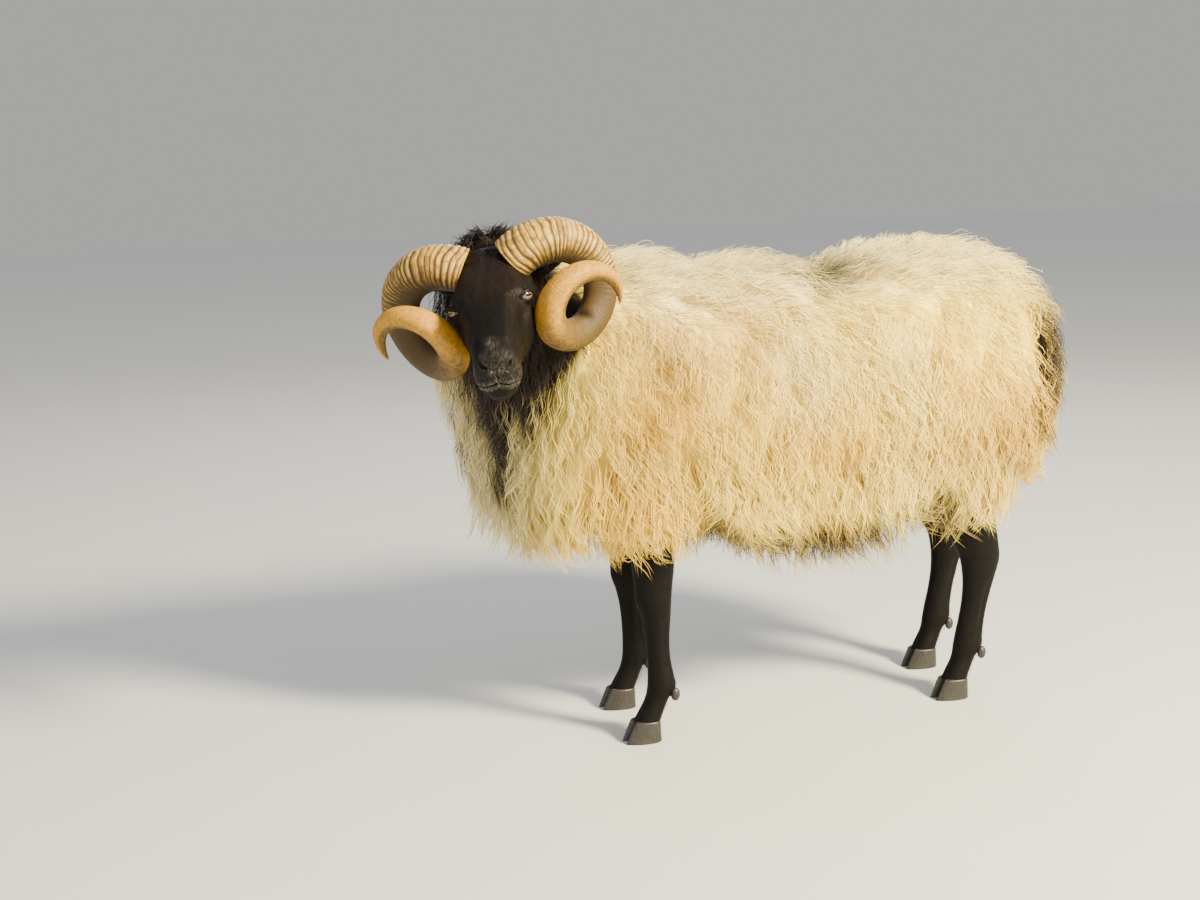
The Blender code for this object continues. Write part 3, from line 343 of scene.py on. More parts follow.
def unit(vector):
    """Each vector divided by its own length."""
    vector = np.asarray(vector, float)
    return vector / np.maximum(np.linalg.norm(vector, axis=-1, keepdims=True), 1e-12)


def smooth_step(low, high, value):
    """0 below low, 1 above high, and between them three squares less two cubes of the share."""
    t = np.clip((value - low) / (high - low), 0.0, 1.0)
    return t * t * (3.0 - 2.0 * t)


def signed_power(value, power):
    """The size raised to a power, with its sign kept."""
    return np.sign(value) * np.abs(value) ** power


def dot(a, b):
    """Products of matching vectors, kept as a column."""
    return (a * b).sum(axis=-1, keepdims=True)


def whole_turn(count):
    """Angles of a full turn in equal steps, the last one step short of the first."""
    return np.linspace(0.0, 2.0 * np.pi, count, endpoint=False)


def head_axes():
    """The head's left, forward and up directions, from its turn, pitch and roll."""
    turn, pitch, roll = np.pi / 2 - HEAD_TURN, HEAD_PITCH, HEAD_ROLL
    forward = np.array([-np.sin(turn) * np.cos(pitch), -np.cos(turn) * np.cos(pitch), -np.sin(pitch)])
    level = np.array([np.cos(turn), -np.sin(turn), 0.0])
    upright = np.cross(forward, level)
    left = np.cos(roll) * level + np.sin(roll) * upright
    up = np.cos(roll) * upright - np.sin(roll) * level
    return np.array([left, forward, up])


HEAD_AXES = head_axes()


def from_head(local):
    """Points of the head's frame (left, forward, up) in the modelling frame."""
    return POLL + np.asarray(local, float) @ HEAD_AXES


def to_head(points):
    """Points of the modelling frame in the head's frame."""
    return (np.asarray(points, float) - POLL) @ HEAD_AXES.T


def with_turned_muzzle(local, turn=MUZZLE_TURN):
    """Points of the head's frame, turned about the muzzle's length by more and more towards the nose."""
    local = np.asarray(local, float)
    turn = turn * smooth_step(0.13, 0.25, local[..., 1])
    across, up = local[..., 0], local[..., 2] - MUZZLE_MIDDLE
    return np.stack([
        across * np.cos(turn) + up * np.sin(turn),
        local[..., 1],
        MUZZLE_MIDDLE + up * np.cos(turn) - across * np.sin(turn),
    ], axis=-1)


def mirrored(local, side):
    """A point of the left side of the head, or its twin on the right (side = -1)."""
    return np.asarray(local, float) * np.array([side, 1.0, 1.0])


def packed_shift():
    """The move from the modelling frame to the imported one, read from where the left eye is."""
    low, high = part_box("eye_left")
    return 0.5 * (np.array(low) + np.array(high)) - from_head(EYE_CENTRE)


SHIFT = packed_shift()


def mesh_object(name, points, quads, triangles=None):
    """A smooth-shaded mesh of whole arrays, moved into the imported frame, its faces turned outwards."""
    points = np.asarray(points, np.float64)
    triangles = np.empty((0, 3), int) if triangles is None else np.asarray(triangles)
    split = np.vstack([quads[:, :3], quads[:, [0, 2, 3]], triangles])
    corners = points[split]
    volume = np.einsum("ij,ij->i", corners[:, 0], np.cross(corners[:, 1], corners[:, 2])).sum()
    if volume < 0:
        quads, triangles = quads[:, ::-1], triangles[:, ::-1]
    mesh = bpy.data.meshes.new(name)
    mesh.vertices.add(len(points))
    mesh.vertices.foreach_set("co", (points + SHIFT).astype(np.float32).ravel())
    loops = np.concatenate([quads.ravel(), triangles.ravel()]).astype(np.int32)
    mesh.loops.add(len(loops))
    mesh.loops.foreach_set("vertex_index", loops)
    starts = np.concatenate([
        4 * np.arange(len(quads)),
        4 * len(quads) + 3 * np.arange(len(triangles)),
    ]).astype(np.int32)
    mesh.polygons.add(len(starts))
    mesh.polygons.foreach_set("loop_start", starts)
    mesh.update(calc_edges=True)
    mesh.validate()
    mesh.shade_smooth()
    piece = bpy.data.objects.new(name, mesh)
    bpy.context.scene.collection.objects.link(piece)
    return piece


def grid_faces(rings, sides):
    """Quads of a tube of rings, with a fan of triangles to one more point at each end."""
    ring, side = np.meshgrid(np.arange(rings - 1), np.arange(sides), indexing="ij")
    a = (ring * sides + side).ravel()
    b = (ring * sides + (side + 1) % sides).ravel()
    j = np.arange(sides)
    k = (j + 1) % sides
    first, last = rings * sides, rings * sides + 1
    top = (rings - 1) * sides
    quads = np.stack([a, b, b + sides, a + sides], 1)
    fans = np.vstack([
        np.stack([np.full(sides, first), k, j], 1),
        np.stack([np.full(sides, last), top + j, top + k], 1),
    ])
    return quads, fans


def shell(name, rings, start=None, end=None):
    """A closed skin over a stack of rings, each end closed by a fan to its own tip or middle."""
    rings = np.asarray(rings, float)
    first = rings[0].mean(axis=0) if start is None else np.asarray(start)
    last = rings[-1].mean(axis=0) if end is None else np.asarray(end)
    points = np.vstack([rings.reshape(-1, 3), first, last])
    return mesh_object(name, points, *grid_faces(*rings.shape[:2]))


def set_values(piece, name, values):
    """Stores one number, vector or colour for each vertex."""
    values = np.asarray(values, np.float32)
    if values.ndim == 1:
        layer = piece.data.attributes.new(name, "FLOAT", "POINT")
        layer.data.foreach_set("value", values)
    elif values.shape[1] == 3:
        layer = piece.data.attributes.new(name, "FLOAT_VECTOR", "POINT")
        layer.data.foreach_set("vector", values.ravel())
    else:
        layer = piece.data.attributes.new(name, "FLOAT_COLOR", "POINT")
        layer.data.foreach_set("color", values.ravel())


def vertices_of(piece):
    """A piece's vertices in the modelling frame."""
    flat = np.empty(3 * len(piece.data.vertices), np.float32)
    piece.data.vertices.foreach_get("co", flat)
    return flat.reshape(-1, 3).astype(float) - SHIFT


def applied(piece):
    """Replaces a piece's mesh by what its modifiers make of it."""
    bpy.context.view_layer.update()
    evaluated = piece.evaluated_get(bpy.context.evaluated_depsgraph_get())
    mesh = bpy.data.meshes.new_from_object(evaluated)
    piece.modifiers.clear()
    piece.data = mesh
    return piece


def united(piece, others):
    """One Boolean union of closed pieces, the others then removed."""
    group = bpy.data.collections.new("pieces")
    bpy.context.scene.collection.children.link(group)
    for other in others:
        bpy.context.scene.collection.objects.unlink(other)
        group.objects.link(other)
    modifier = piece.modifiers.new("union", "BOOLEAN")
    modifier.operation = "UNION"
    modifier.operand_type = "COLLECTION"
    modifier.collection = group
    modifier.solver = "MANIFOLD"
    applied(piece)
    for other in others:
        bpy.data.objects.remove(other)
    bpy.data.collections.remove(group)
    return piece


def remeshed(piece, voxel, smoothing):
    """The piece's outer surface rebuilt in small even squares, and smoothed."""
    remesh = piece.modifiers.new("remesh", "REMESH")
    remesh.mode = "VOXEL"
    remesh.voxel_size = voxel
    remesh.use_smooth_shade = True
    smooth = piece.modifiers.new("smooth", "SMOOTH")
    smooth.factor = 0.5
    smooth.iterations = smoothing
    return applied(piece)


def joined(pieces):
    """Several objects as one."""
    with bpy.context.temp_override(
        active_object=pieces[0], selected_objects=pieces, selected_editable_objects=pieces
    ):
        bpy.ops.object.join()
    return pieces[0]


def cross_section(tube, angle, at=slice(None)):
    """Offsets across and up of a tube's section: a rounded square, taller above or below its centre."""
    power = 2.0 / tube["square"]
    across = tube["wide"][at][..., None] * signed_power(np.sin(angle), power)
    high = np.where(np.cos(angle) > 0, tube["above"][at][..., None], tube["below"][at][..., None])
    return across, high * signed_power(np.cos(angle), power)


def tube_rings(tube, sides):
    """Rings of a tube: its centre, and the section's offsets laid along its side and up directions."""
    across, up = cross_section(tube, whole_turn(sides)[None])
    sideways = across[..., None] * tube["side"][:, None]
    return tube["centre"][:, None] + sideways + up[..., None] * tube["up"][:, None]


def trunk_tube(count=40):
    """The trunk: level along x, its half width and height read from the table."""
    at = np.linspace(TRUNK[0, 0], TRUNK[-1, 0], count)
    wide, top, bottom = between(TRUNK, at).T
    centre = np.stack([at, 0.0 * at, 0.5 * (top + bottom)], axis=-1)
    return {
        "centre": centre,
        "side": np.tile([0.0, 1.0, 0.0], (count, 1)),
        "up": np.tile([0.0, 0.0, 1.0], (count, 1)),
        "along": np.tile([1.0, 0.0, 0.0], (count, 1)),
        "wide": wide,
        "above": 0.5 * (top - bottom),
        "below": 0.5 * (top - bottom),
        "square": BODY_SQUARENESS,
    }


def neck_tube(count=40):
    """The neck bends along a cubic from the shoulder to the back of the head."""
    start = SHOULDER_POINT - 0.060 * SHOULDER_NORMAL
    finish = from_head(OCCIPUT)
    into_head = unit(0.75 * HEAD_AXES[1] + 0.35 * SHOULDER_NORMAL)
    t = np.linspace(0.0, 1.0, count)[:, None]
    handle_a = start + 0.150 * SHOULDER_NORMAL
    handle_b = finish - 0.085 * into_head
    centre = (
        (1 - t) ** 3 * start + 3 * t * (1 - t) ** 2 * handle_a
        + 3 * t ** 2 * (1 - t) * handle_b + t ** 3 * finish
    )
    centre = centre + np.sin(np.pi * t) * BREAST
    along = unit((1 - t) * SHOULDER_NORMAL + t * into_head)
    up = (1 - t) * np.array([0.322, 0.0, 0.947]) + t * HEAD_AXES[2]
    up = unit(up - dot(up, along) * along)
    wide, above, below = between(NECK_SIZES, t[:, 0]).T
    return {
        "centre": centre, "side": np.cross(along, up), "up": up, "along": along,
        "wide": wide, "above": above, "below": below, "square": 2.0,
    }


def tail_tube(count=24):
    """The tail: a flattened round section carried down its curve."""
    share = np.linspace(0.0, 1.0, len(TAIL))
    x, z, half = between(np.column_stack([share, TAIL]), np.linspace(0.0, 1.0, count)).T
    centre = np.stack([x, 0.0 * x, z], axis=-1)
    along = unit(np.gradient(centre, axis=0))
    side = np.tile([0.0, 1.0, 0.0], (count, 1))
    return {
        "centre": centre, "side": side, "up": np.cross(along, side), "along": along,
        "wide": half, "above": 0.8 * half, "below": 0.8 * half, "square": 2.0,
    }


def thigh_tube(place, count=12):
    """The upper leg inside the fleece, from the flank down to where the leg comes out."""
    x, y, sizes = LEG_PLACES[place]
    share = np.linspace(0.0, 1.0, count)
    height = 0.500 - 0.150 * share
    spread = 0.030 - 0.020 * share
    centre = np.stack([x + sizes[0, 1] + 0.0 * share, y + 0.0 * share, height], axis=-1)
    return {
        "centre": centre,
        "side": np.tile([0.0, 1.0, 0.0], (count, 1)),
        "up": np.tile([1.0, 0.0, 0.0], (count, 1)),
        "along": np.tile([0.0, 0.0, -1.0], (count, 1)),
        "wide": sizes[0, 3] - 0.004 + spread,
        "above": sizes[0, 2] - 0.004 + spread,
        "below": sizes[0, 2] - 0.004 + spread,
        "square": 2.0,
    }


def body_tubes():
    return [trunk_tube(), neck_tube(), tail_tube()] + [thigh_tube(place) for place in LEG_PLACES]


def head_stations(count):
    """Places along the head, closer together round the eyes and over the muzzle."""
    fine = np.linspace(SKULL[0, 0], SKULL[-1, 0], 800)
    close = 1.0 + 1.1 * np.exp(-((fine - EYE_CENTRE[1]) / 0.024) ** 2)
    close = close + 1.3 * smooth_step(0.20, 0.235, fine)
    share = np.cumsum(close)
    share = (share - share[0]) / (share[-1] - share[0])
    return np.interp(np.linspace(0.0, 1.0, count), share, fine)


def head_section(at, sides):
    """Head sections in the head's frame: rounded squares, broad at the forehead and deep at the jaw."""
    half_width, top, bottom = between(SKULL, at).T
    turn = whole_turn(sides)
    angle = (turn + 0.2 * np.sin(2.0 * turn))[None]
    widest = top - 0.42 * (top - bottom)
    upper = np.cos(angle) > 0
    height = np.where(upper, (top - widest)[:, None], (widest - bottom)[:, None])
    power = 2.0 / np.where(upper, 2.5, 2.1)
    across = half_width[:, None] * signed_power(np.sin(angle), power)
    up = widest[:, None] + height * signed_power(np.cos(angle), power)
    forward = np.repeat(np.asarray(at)[:, None], sides, axis=1)
    return np.stack([across, forward, up], axis=-1)


def swelling(local, place, size, reach):
    """A rounded bump, or a hollow where its size is negative, on both sides of the head."""
    away = (np.abs(local[..., 0]) - place[0]) ** 2 / reach[0] ** 2
    away = away + (local[..., 1] - place[1]) ** 2 / reach[1] ** 2
    away = away + (local[..., 2] - place[2]) ** 2 / reach[2] ** 2
    return size * np.exp(-away)


def ridge(local, start, end, size, reach):
    """A rounded ridge along the line from start to end, on both sides of the head."""
    folded = np.concatenate([np.abs(local[..., :1]), local[..., 1:]], axis=-1)
    start, end = np.asarray(start), np.asarray(end)
    t = np.clip(((folded - start) @ (end - start)) / ((end - start) @ (end - start)), 0.0, 1.0)
    away = np.linalg.norm(folded - start - t[..., None] * (end - start), axis=-1)
    return size * np.exp(-(away / reach) ** 2)


def skull_form(rings):
    """The broad forms, moved sideways: brows, hollows before the eyes, cheeks, jaw and lips."""
    side = np.sign(rings[..., 0])
    out = swelling(rings, (0.058, 0.093, -0.010), 0.0075, (0.03, 0.026, 0.013))
    out += swelling(rings, (0.055, 0.040, -0.095), 0.0045, (0.04, 0.040, 0.035))
    out += swelling(rings, (0.045, 0.134, -0.036), -0.0052, (0.03, 0.020, 0.013))
    out += swelling(rings, (0.045, 0.165, -0.085), -0.0038, (0.03, 0.030, 0.015))
    out += swelling(rings, (0.026, 0.236, -0.056), 0.0024, (0.02, 0.014, 0.011))
    out += swelling(rings, (0.055, 0.060, -0.030), -0.0026, (0.03, 0.020, 0.018))
    shaped = rings.copy()
    shaped[..., 0] += side * out
    return shaped


def mouth_height(across):
    """The level of the parting of the lips: it dips beside the middle and falls to the corners."""
    share = np.minimum(np.abs(across) / MOUTH_CORNER[0], 1.0)
    fall = (MOUTH_CORNER[2] - MOUTH_FRONT[2]) * share ** 1.33
    return MOUTH_FRONT[2] + fall - 0.0018 * np.sin(np.pi * np.minimum(share * 1.6, 1.0))


def nostril_parts(local):
    """How far points lie from a nostril's slanting, curved middle line, along and across it."""
    out = unit(NOSTRIL_OUTWARD)
    slant = unit(NOSTRIL_SLANT - np.dot(NOSTRIL_SLANT, out) * out)
    wide = np.cross(out, slant)
    folded = np.concatenate([np.abs(local[..., :1]), local[..., 1:]], axis=-1) - NOSTRIL_CENTRE
    along, across = folded @ slant, folded @ wide
    return along, across + 30.0 * along ** 2 - 0.0010


def muzzle_relief(local):
    """Heights of the fine forms of the face: lips, nostrils, folds and veins."""
    across, forward, up = local[..., 0], local[..., 1], local[..., 2]
    height = ridge(local, (0.050, 0.116, -0.052), (0.036, 0.190, -0.070), 0.0022, 0.0075)
    height += ridge(local, (0.030, 0.120, -0.004), (0.020, 0.205, -0.016), 0.0018, 0.0065)
    height += swelling(local, (0.045, 0.128, -0.040), -0.0018, (0.020, 0.016, 0.012))
    height += swelling(local, (0.000, 0.060, 0.004), -0.0016, (0.014, 0.040, 0.020))
    height += swelling(local, (0.000, 0.232, -0.094), 0.0034, (0.014, 0.014, 0.010))
    level = up - mouth_height(across)
    lips = smooth_step(0.205, 0.220, forward)
    height += lips * 0.0014 * np.exp(-((np.abs(level) - 0.0050) / 0.0034) ** 2)
    height -= lips * 0.0036 * np.exp(-(level / 0.0012) ** 2)
    middle = smooth_step(-0.060, -0.057, up) * (1.0 - smooth_step(-0.045, -0.036, up))
    height -= middle * (forward > 0.235) * 0.0014 * np.exp(-(across / 0.0013) ** 2)
    along, away = nostril_parts(local)
    hole = np.sqrt((along / 0.0078) ** 2 + (away / 0.0022) ** 2)
    near = (np.abs(across) < 0.034) & (forward > 0.222) & (up > -0.055)
    rim = 0.0013 * np.exp(-((hole - 1.75) / 0.55) ** 2)
    height += near * (rim - 0.0055 * (1.0 - smooth_step(0.55, 1.20, hole)))
    wrinkles = np.sin(620.0 * up + 3.0 * np.sin(260.0 * across)) * np.sin(540.0 * across + 190.0 * forward)
    height += 0.00035 * wrinkles * smooth_step(0.215, 0.240, forward)
    return height


def eye_axes(side):
    """Outward, forward and up directions of an eye in the head's frame."""
    outward = unit(mirrored(EYE_OUTWARD, side))
    ahead = unit(EYE_AHEAD - np.dot(EYE_AHEAD, outward) * outward)
    return np.array([outward, ahead, np.cross(outward, ahead) * side])


def socket(local, side):
    """Draws the face in behind the eyeball and lets it swell over the ball round the lids."""
    offset = (local - mirrored(EYE_CENTRE, side)) @ eye_axes(side).T
    reach = np.linalg.norm(offset, axis=-1)
    turn = np.arctan2(offset[..., 1], offset[..., 0])
    tilt = np.arctan2(offset[..., 2], np.hypot(offset[..., 0], offset[..., 1])) - LID_TILT
    size = np.hypot(turn / LID_HALF_TURN, tilt / LID_OPEN_UPPER)
    size = np.where((offset[..., 0] > 0) & (reach < 0.045), size, 9.0)
    around = np.hypot(turn / SOCKET_HALF_TURN, tilt / SOCKET_HALF_HEIGHT)
    swell = (1.0 - smooth_step(1.0, 1.6, around)) * (size < 9.0)
    inside = 1.0 - smooth_step(1.10, 1.45, size)
    fold = 0.0004 * np.cos(2.0 * np.pi * (size - 2.0) / 0.50) * np.exp(-((size - 2.3) / 0.5) ** 2)
    wanted = reach * (1.0 - 0.8 * swell) + 0.8 * swell * (EYE_RADIUS + 0.0028) + fold
    wanted = wanted * (1.0 - inside) + inside * (EYE_RADIUS - 0.0026)
    moved = offset * (wanted / np.maximum(reach, 1e-6))[..., None]
    return moved @ eye_axes(side) + mirrored(EYE_CENTRE, side)


def head_grid(rings=176, sides=200):
    """The head in its own frame: sections along its length, closed over the nose by shrinking rings."""
    grid = skull_form(head_section(head_stations(rings), sides))
    shrink = np.cos(np.linspace(0.0, 0.5 * np.pi, NOSE_RINGS + 2)[1:-1])[:, None, None]
    cap = NOSE_TIP + (grid[-1][None] - NOSE_TIP) * shrink
    reach = NOSE_TIP[1] - grid[-1, 0, 1]
    cap[..., 1] = grid[-1, 0, 1] + reach * np.sqrt(1.0 - shrink[..., 0] ** 2)
    grid = np.concatenate([grid, cap])
    lengthwise = np.gradient(grid, axis=0)
    around = np.roll(grid, -1, axis=1) - np.roll(grid, 1, axis=1)
    normal = unit(np.cross(around, lengthwise))
    normal = normal * np.sign(dot(normal, grid - grid.mean(axis=1, keepdims=True)) + 1e-9)
    normal[-NOSE_RINGS:] = unit(normal[-NOSE_RINGS:] + np.array([0.0, 0.6, 0.0]))
    grid = grid + normal * muzzle_relief(grid)[..., None]
    for side in (1, -1):
        moved = socket(grid, side)
        grid = np.where((grid[..., :1] * side > 0), moved, grid)
    turned_normal = with_turned_muzzle(grid + 0.001 * normal) - with_turned_muzzle(grid)
    return with_turned_muzzle(grid), unit(turned_normal)


def head_shell():
    """The head as one closed skin in the modelling frame."""
    grid, _ = head_grid()
    back = np.array([0.0, SKULL[0, 0] - 0.010, -0.072])
    nose = with_turned_muzzle(NOSE_TIP)
    return shell("head", from_head(grid), start=from_head(back), end=from_head(nose))


def eyelid(side, upper):
    """A lid: a flat, round-edged section swept over the eyeball from one corner to the other."""
    axes = eye_axes(side)
    sweep = np.sin(np.linspace(-0.5 * np.pi, 0.5 * np.pi, 57))
    arch = np.sqrt(np.maximum(1.0 - sweep ** 2, 0.0))
    sign = 1.0 if upper else -1.0
    opening = LID_OPEN_UPPER if upper else LID_OPEN_LOWER
    edge = sign * opening * 0.92 * arch ** 1.15 + LID_TILT
    reach = (0.30 if upper else 0.24) * (0.45 + 0.55 * arch)
    angle = whole_turn(20)[None]
    tilt = edge[:, None] + sign * reach[:, None] * (1.0 - np.cos(angle))
    thick = 0.0010 + 0.0006 * arch[:, None]
    radius = EYE_RADIUS + 0.0009 + thick * np.sin(angle) + 0.0006 * (1.0 - np.cos(angle)) * 0.5
    turn = (sweep * LID_HALF_TURN)[:, None]
    way = (
        (np.cos(turn) * np.cos(tilt))[..., None] * axes[0]
        + (np.sin(turn) * np.cos(tilt))[..., None] * axes[1]
        + np.sin(tilt)[..., None] * axes[2]
    )
    return shell("lid", from_head(mirrored(EYE_CENTRE, side) + radius[..., None] * way))


def ear_frame(side):
    """An ear's own directions: along, across and towards its hollow."""
    way = unit(mirrored(EAR_WAY, side))
    hollow = unit(mirrored((0.35, 0.42, -0.50), side))
    hollow = unit(hollow - np.dot(hollow, way) * way)
    return way, np.cross(way, hollow), hollow


def ear_rings(side, count=44, sides=32):
    """A leaf shape: a flat oval section bent into a cup, widest near the middle and drawn to a tip."""
    way, across, hollow = ear_frame(side)
    t = np.sin(np.linspace(0.0, 0.5 * np.pi, count)) * 0.992
    half = 0.5 * EAR_WIDTH * (0.60 + 0.40 * np.sin(np.pi * np.minimum(t * 1.15 + 0.05, 1.0)))
    half = half * np.where(t > 0.55, np.sqrt(np.maximum(1.0 - ((t - 0.55) / 0.45) ** 2, 0.0)), 1.0)
    angle = whole_turn(sides)[None]
    share = np.cos(angle)
    thick = 0.0030 - 0.0014 * t[:, None]
    droop = 0.010 * t[:, None] ** 2
    depth = EAR_CUP * (share ** 2 - 1.0) + thick * np.sin(angle) * (1.0 - 0.35 * share ** 2)
    line = mirrored(EAR_ROOT, side) + t[:, None] * EAR_LENGTH * way
    local = line[:, None] + (half[:, None] * share)[..., None] * across
    return local + (depth - droop)[..., None] * hollow


def ear(side):
    """One ear as a closed skin."""
    return shell("ear", from_head(ear_rings(side)))


def leg_rings(place, count=110, sides=40):
    """A leg's sections: ovals from the table, with a groove before the tendons and a cleft at the toes."""
    x, y, sizes = LEG_PLACES[place]
    height = np.linspace(sizes[0, 0], sizes[-1, 0], count)
    shift, reach_x, reach_y = between(sizes[::-1], height).T
    angle = whole_turn(sides)[None]
    h = height[:, None]
    cannon = smooth_step(0.105, 0.135, h) * (1.0 - smooth_step(0.195, 0.225, h))
    groove = np.exp(-((np.abs(np.angle(np.exp(1j * angle))) - 1.15) / 0.30) ** 2)
    cleft = np.exp(-((np.abs(angle - np.pi)) / 0.20) ** 2) * (1.0 - smooth_step(0.045, 0.066, h))
    knee = np.exp(-((h - 0.243) / 0.018) ** 2) * np.exp(-((np.abs(angle - np.pi)) / 0.55) ** 2)
    size = 1.0 - 0.13 * cannon * groove - 0.14 * cleft + 0.05 * knee
    size = size + 0.035 * np.exp(-((h - 0.094) / 0.012) ** 2) * np.cos(angle) ** 2
    return np.stack([
        x + shift[:, None] + reach_x[:, None] * size * np.cos(angle),
        y + reach_y[:, None] * size * np.sin(angle),
        np.repeat(h, sides, axis=1),
    ], axis=-1)


def claw_rings(place, side, count=22, sides=44):
    """Half a cloven hoof: a flat sole, a sloping toe that turns inwards, and a rounded coronet."""
    x, y, sizes = LEG_PLACES[place]
    middle_rings = count - 6
    share = np.concatenate([[0.0, 0.0, 0.02], np.linspace(0.05, 0.92, middle_rings), [0.97, 0.995, 1.0]])
    narrow = np.concatenate([[0.90, 0.96, 0.985], np.ones(middle_rings), [0.93, 0.78, 0.55]])
    share, narrow = share[:, None], narrow[:, None]
    angle = whole_turn(sides)[None]
    length = 0.5 * CLAW_LENGTH * (1.0 - 0.30 * share) * narrow
    width = 0.5 * CLAW_WIDTH * (1.0 - 0.10 * share) * narrow
    middle = x + sizes[-1, 1] - CLAW_FORWARD * (1.0 - share) - 0.002
    rings_of_growth = 0.00045 * np.sin(share * 44.0) * (share > 0.03) * (share < 0.9)
    out = 1.0 + rings_of_growth / width
    toe = np.maximum(-np.cos(angle), 0.0) ** 2
    inward = -side * 0.0022 * toe * (1.0 - share)
    return np.stack([
        middle + out * length * np.cos(angle),
        y + side * CLAW_SPREAD + inward + out * width * np.sin(angle) * (1.0 + 0.26 * np.cos(angle)),
        np.repeat(share * CLAW_HEIGHT, sides, axis=1),
    ], axis=-1)


def dew_claw_rings(place, across, count=12, sides=16):
    """A small blunt hoof behind the fetlock: a stretched half ball."""
    x, y, sizes = LEG_PLACES[place]
    row = sizes[FETLOCK_ROW]
    polar = np.linspace(0.0, np.pi, count + 2)[1:-1, None]
    angle = whole_turn(sides)[None]
    centre = np.array([x + row[1] + row[2] - 0.004, y + across, row[0] - 0.014])
    return centre + np.stack([
        DEW_CLAW_HALVES[0] * np.sin(polar) * np.cos(angle),
        DEW_CLAW_HALVES[1] * np.sin(polar) * np.sin(angle),
        DEW_CLAW_HALVES[2] * np.cos(polar) + 0.0 * angle,
    ], axis=-1)


def horn_line(t, side):
    """Points and outward directions of a horn's centre line, a shrinking coil that climbs its axis."""
    axis = unit(HORN_AXIS)
    first = unit(np.array([0.0, 1.0, 0.0]) - axis[1] * axis)
    second = np.cross(axis, first)
    turn = t * HORN_TURN
    reach = HORN_COIL * np.exp(-HORN_SHRINK * turn)
    climb = HORN_RISE * turn + HORN_RISE_FADE * turn ** 2
    phase = HORN_PHASE + turn
    outward = np.cos(phase)[:, None] * first + np.sin(phase)[:, None] * second
    line = HORN_START + reach[:, None] * outward + climb[:, None] * axis
    flip = np.array([side, 1.0, 1.0])
    return from_head(line * flip), (outward * flip) @ HEAD_AXES, (axis * flip) @ HEAD_AXES


def horn_relief(t, angle):
    """Ribs across the horn: rounded crests and sharp dark grooves, uneven, fading towards the tip; the
    grooves' dark is partly painted shade.
    """
    wander = 0.20 * np.sin(2.0 * angle + 9.0 * t) + 0.10 * np.sin(3.0 * angle - 23.0 * t)
    wander = wander + 0.34 * np.sin(47.0 * t + 0.9 * np.sin(angle)) + 0.20 * np.sin(111.0 * t)
    wander = wander + 0.05 * np.sin(7.0 * angle + 31.0 * t)
    beat = HORN_RIBS * t / HORN_RIBBED * (1.0 + 0.10 * t) + wander
    crest = np.abs(np.sin(np.pi * beat)) ** 0.8
    strength = 1.0 - smooth_step(0.62 * HORN_RIBBED, 1.12 * HORN_RIBBED, t)
    strength = strength * (0.74 + 0.26 * np.sin(5.3 * beat + 1.0)) * (0.52 + 0.48 * np.cos(angle - 0.3))
    rings = np.sin(2.0 * np.pi * beat * 1.7 + 3.0 * np.sin(angle)) * smooth_step(0.40, 0.60, t)
    return crest * strength, rings


def horn_shell(name, side, rings=620, sides=56):
    """A horn: sections carried along its coil, rounded outside and flatter towards the coil's middle."""
    t = np.linspace(0.0, 1.0, rings)
    line, outward, axis = horn_line(t, side)
    along = unit(np.gradient(line, axis=0))
    outward = unit(outward - dot(outward, along) * along)
    across = np.cross(along, outward)
    angle = whole_turn(sides)[None]
    crest, growth = horn_relief(t[:, None], angle)
    facing = np.cos(angle) * (outward @ axis)[:, None] + np.sin(angle) * (across @ axis)[:, None]
    # The back part's side that faces into the coil: its ribs are lower, and its colour takes painted shade.
    ribless_shaded_side = smooth_step(-0.25, 0.45, facing) * smooth_step(0.22, 0.32, t[:, None])
    ribless_shaded_side = ribless_shaded_side * (1.0 - smooth_step(0.54, 0.66, t[:, None]))
    crest = crest * (1.0 - 0.75 * ribless_shaded_side)
    section = 1.0 + 0.055 * np.cos(angle) - 0.050 * np.cos(3.0 * angle) + 0.012 * np.cos(2.0 * angle + 1.0)
    radius = between(HORN_RADII, t)[:, :1] - 0.5 * HORN_RIB_HEIGHT
    reach = radius * section + HORN_RIB_HEIGHT * crest + 0.00022 * growth
    points = line[:, None] + reach[..., None] * (
        np.cos(angle)[..., None] * outward[:, None] + np.sin(angle)[..., None] * across[:, None]
    )
    piece = shell(name, points, end=line[-1] + 0.006 * along[-1])
    ends = np.array([0.0, 1.0])
    set_values(piece, "along", np.concatenate([np.repeat(t, sides), ends]))
    set_values(piece, "crest", np.concatenate([crest.ravel(), 0.0 * ends]))
    # Inner side: olive horn darkened by painted shade where the tube faces into the coil.
    inner = np.maximum(smooth_step(0.38, 0.80, 0.5 - 0.5 * np.cos(angle)), ribless_shaded_side)
    set_values(piece, "inner", np.concatenate([inner.ravel(), 0.0 * ends]))
    flow = np.stack([
        np.repeat(t, sides) * 60.0,
        np.tile(np.cos(angle[0]), rings) * 2.0,
        np.tile(np.sin(angle[0]), rings) * 2.0,
    ], axis=1)
    set_values(piece, "flow", np.vstack([flow, flow[:1], flow[-1:]]))
    return piece


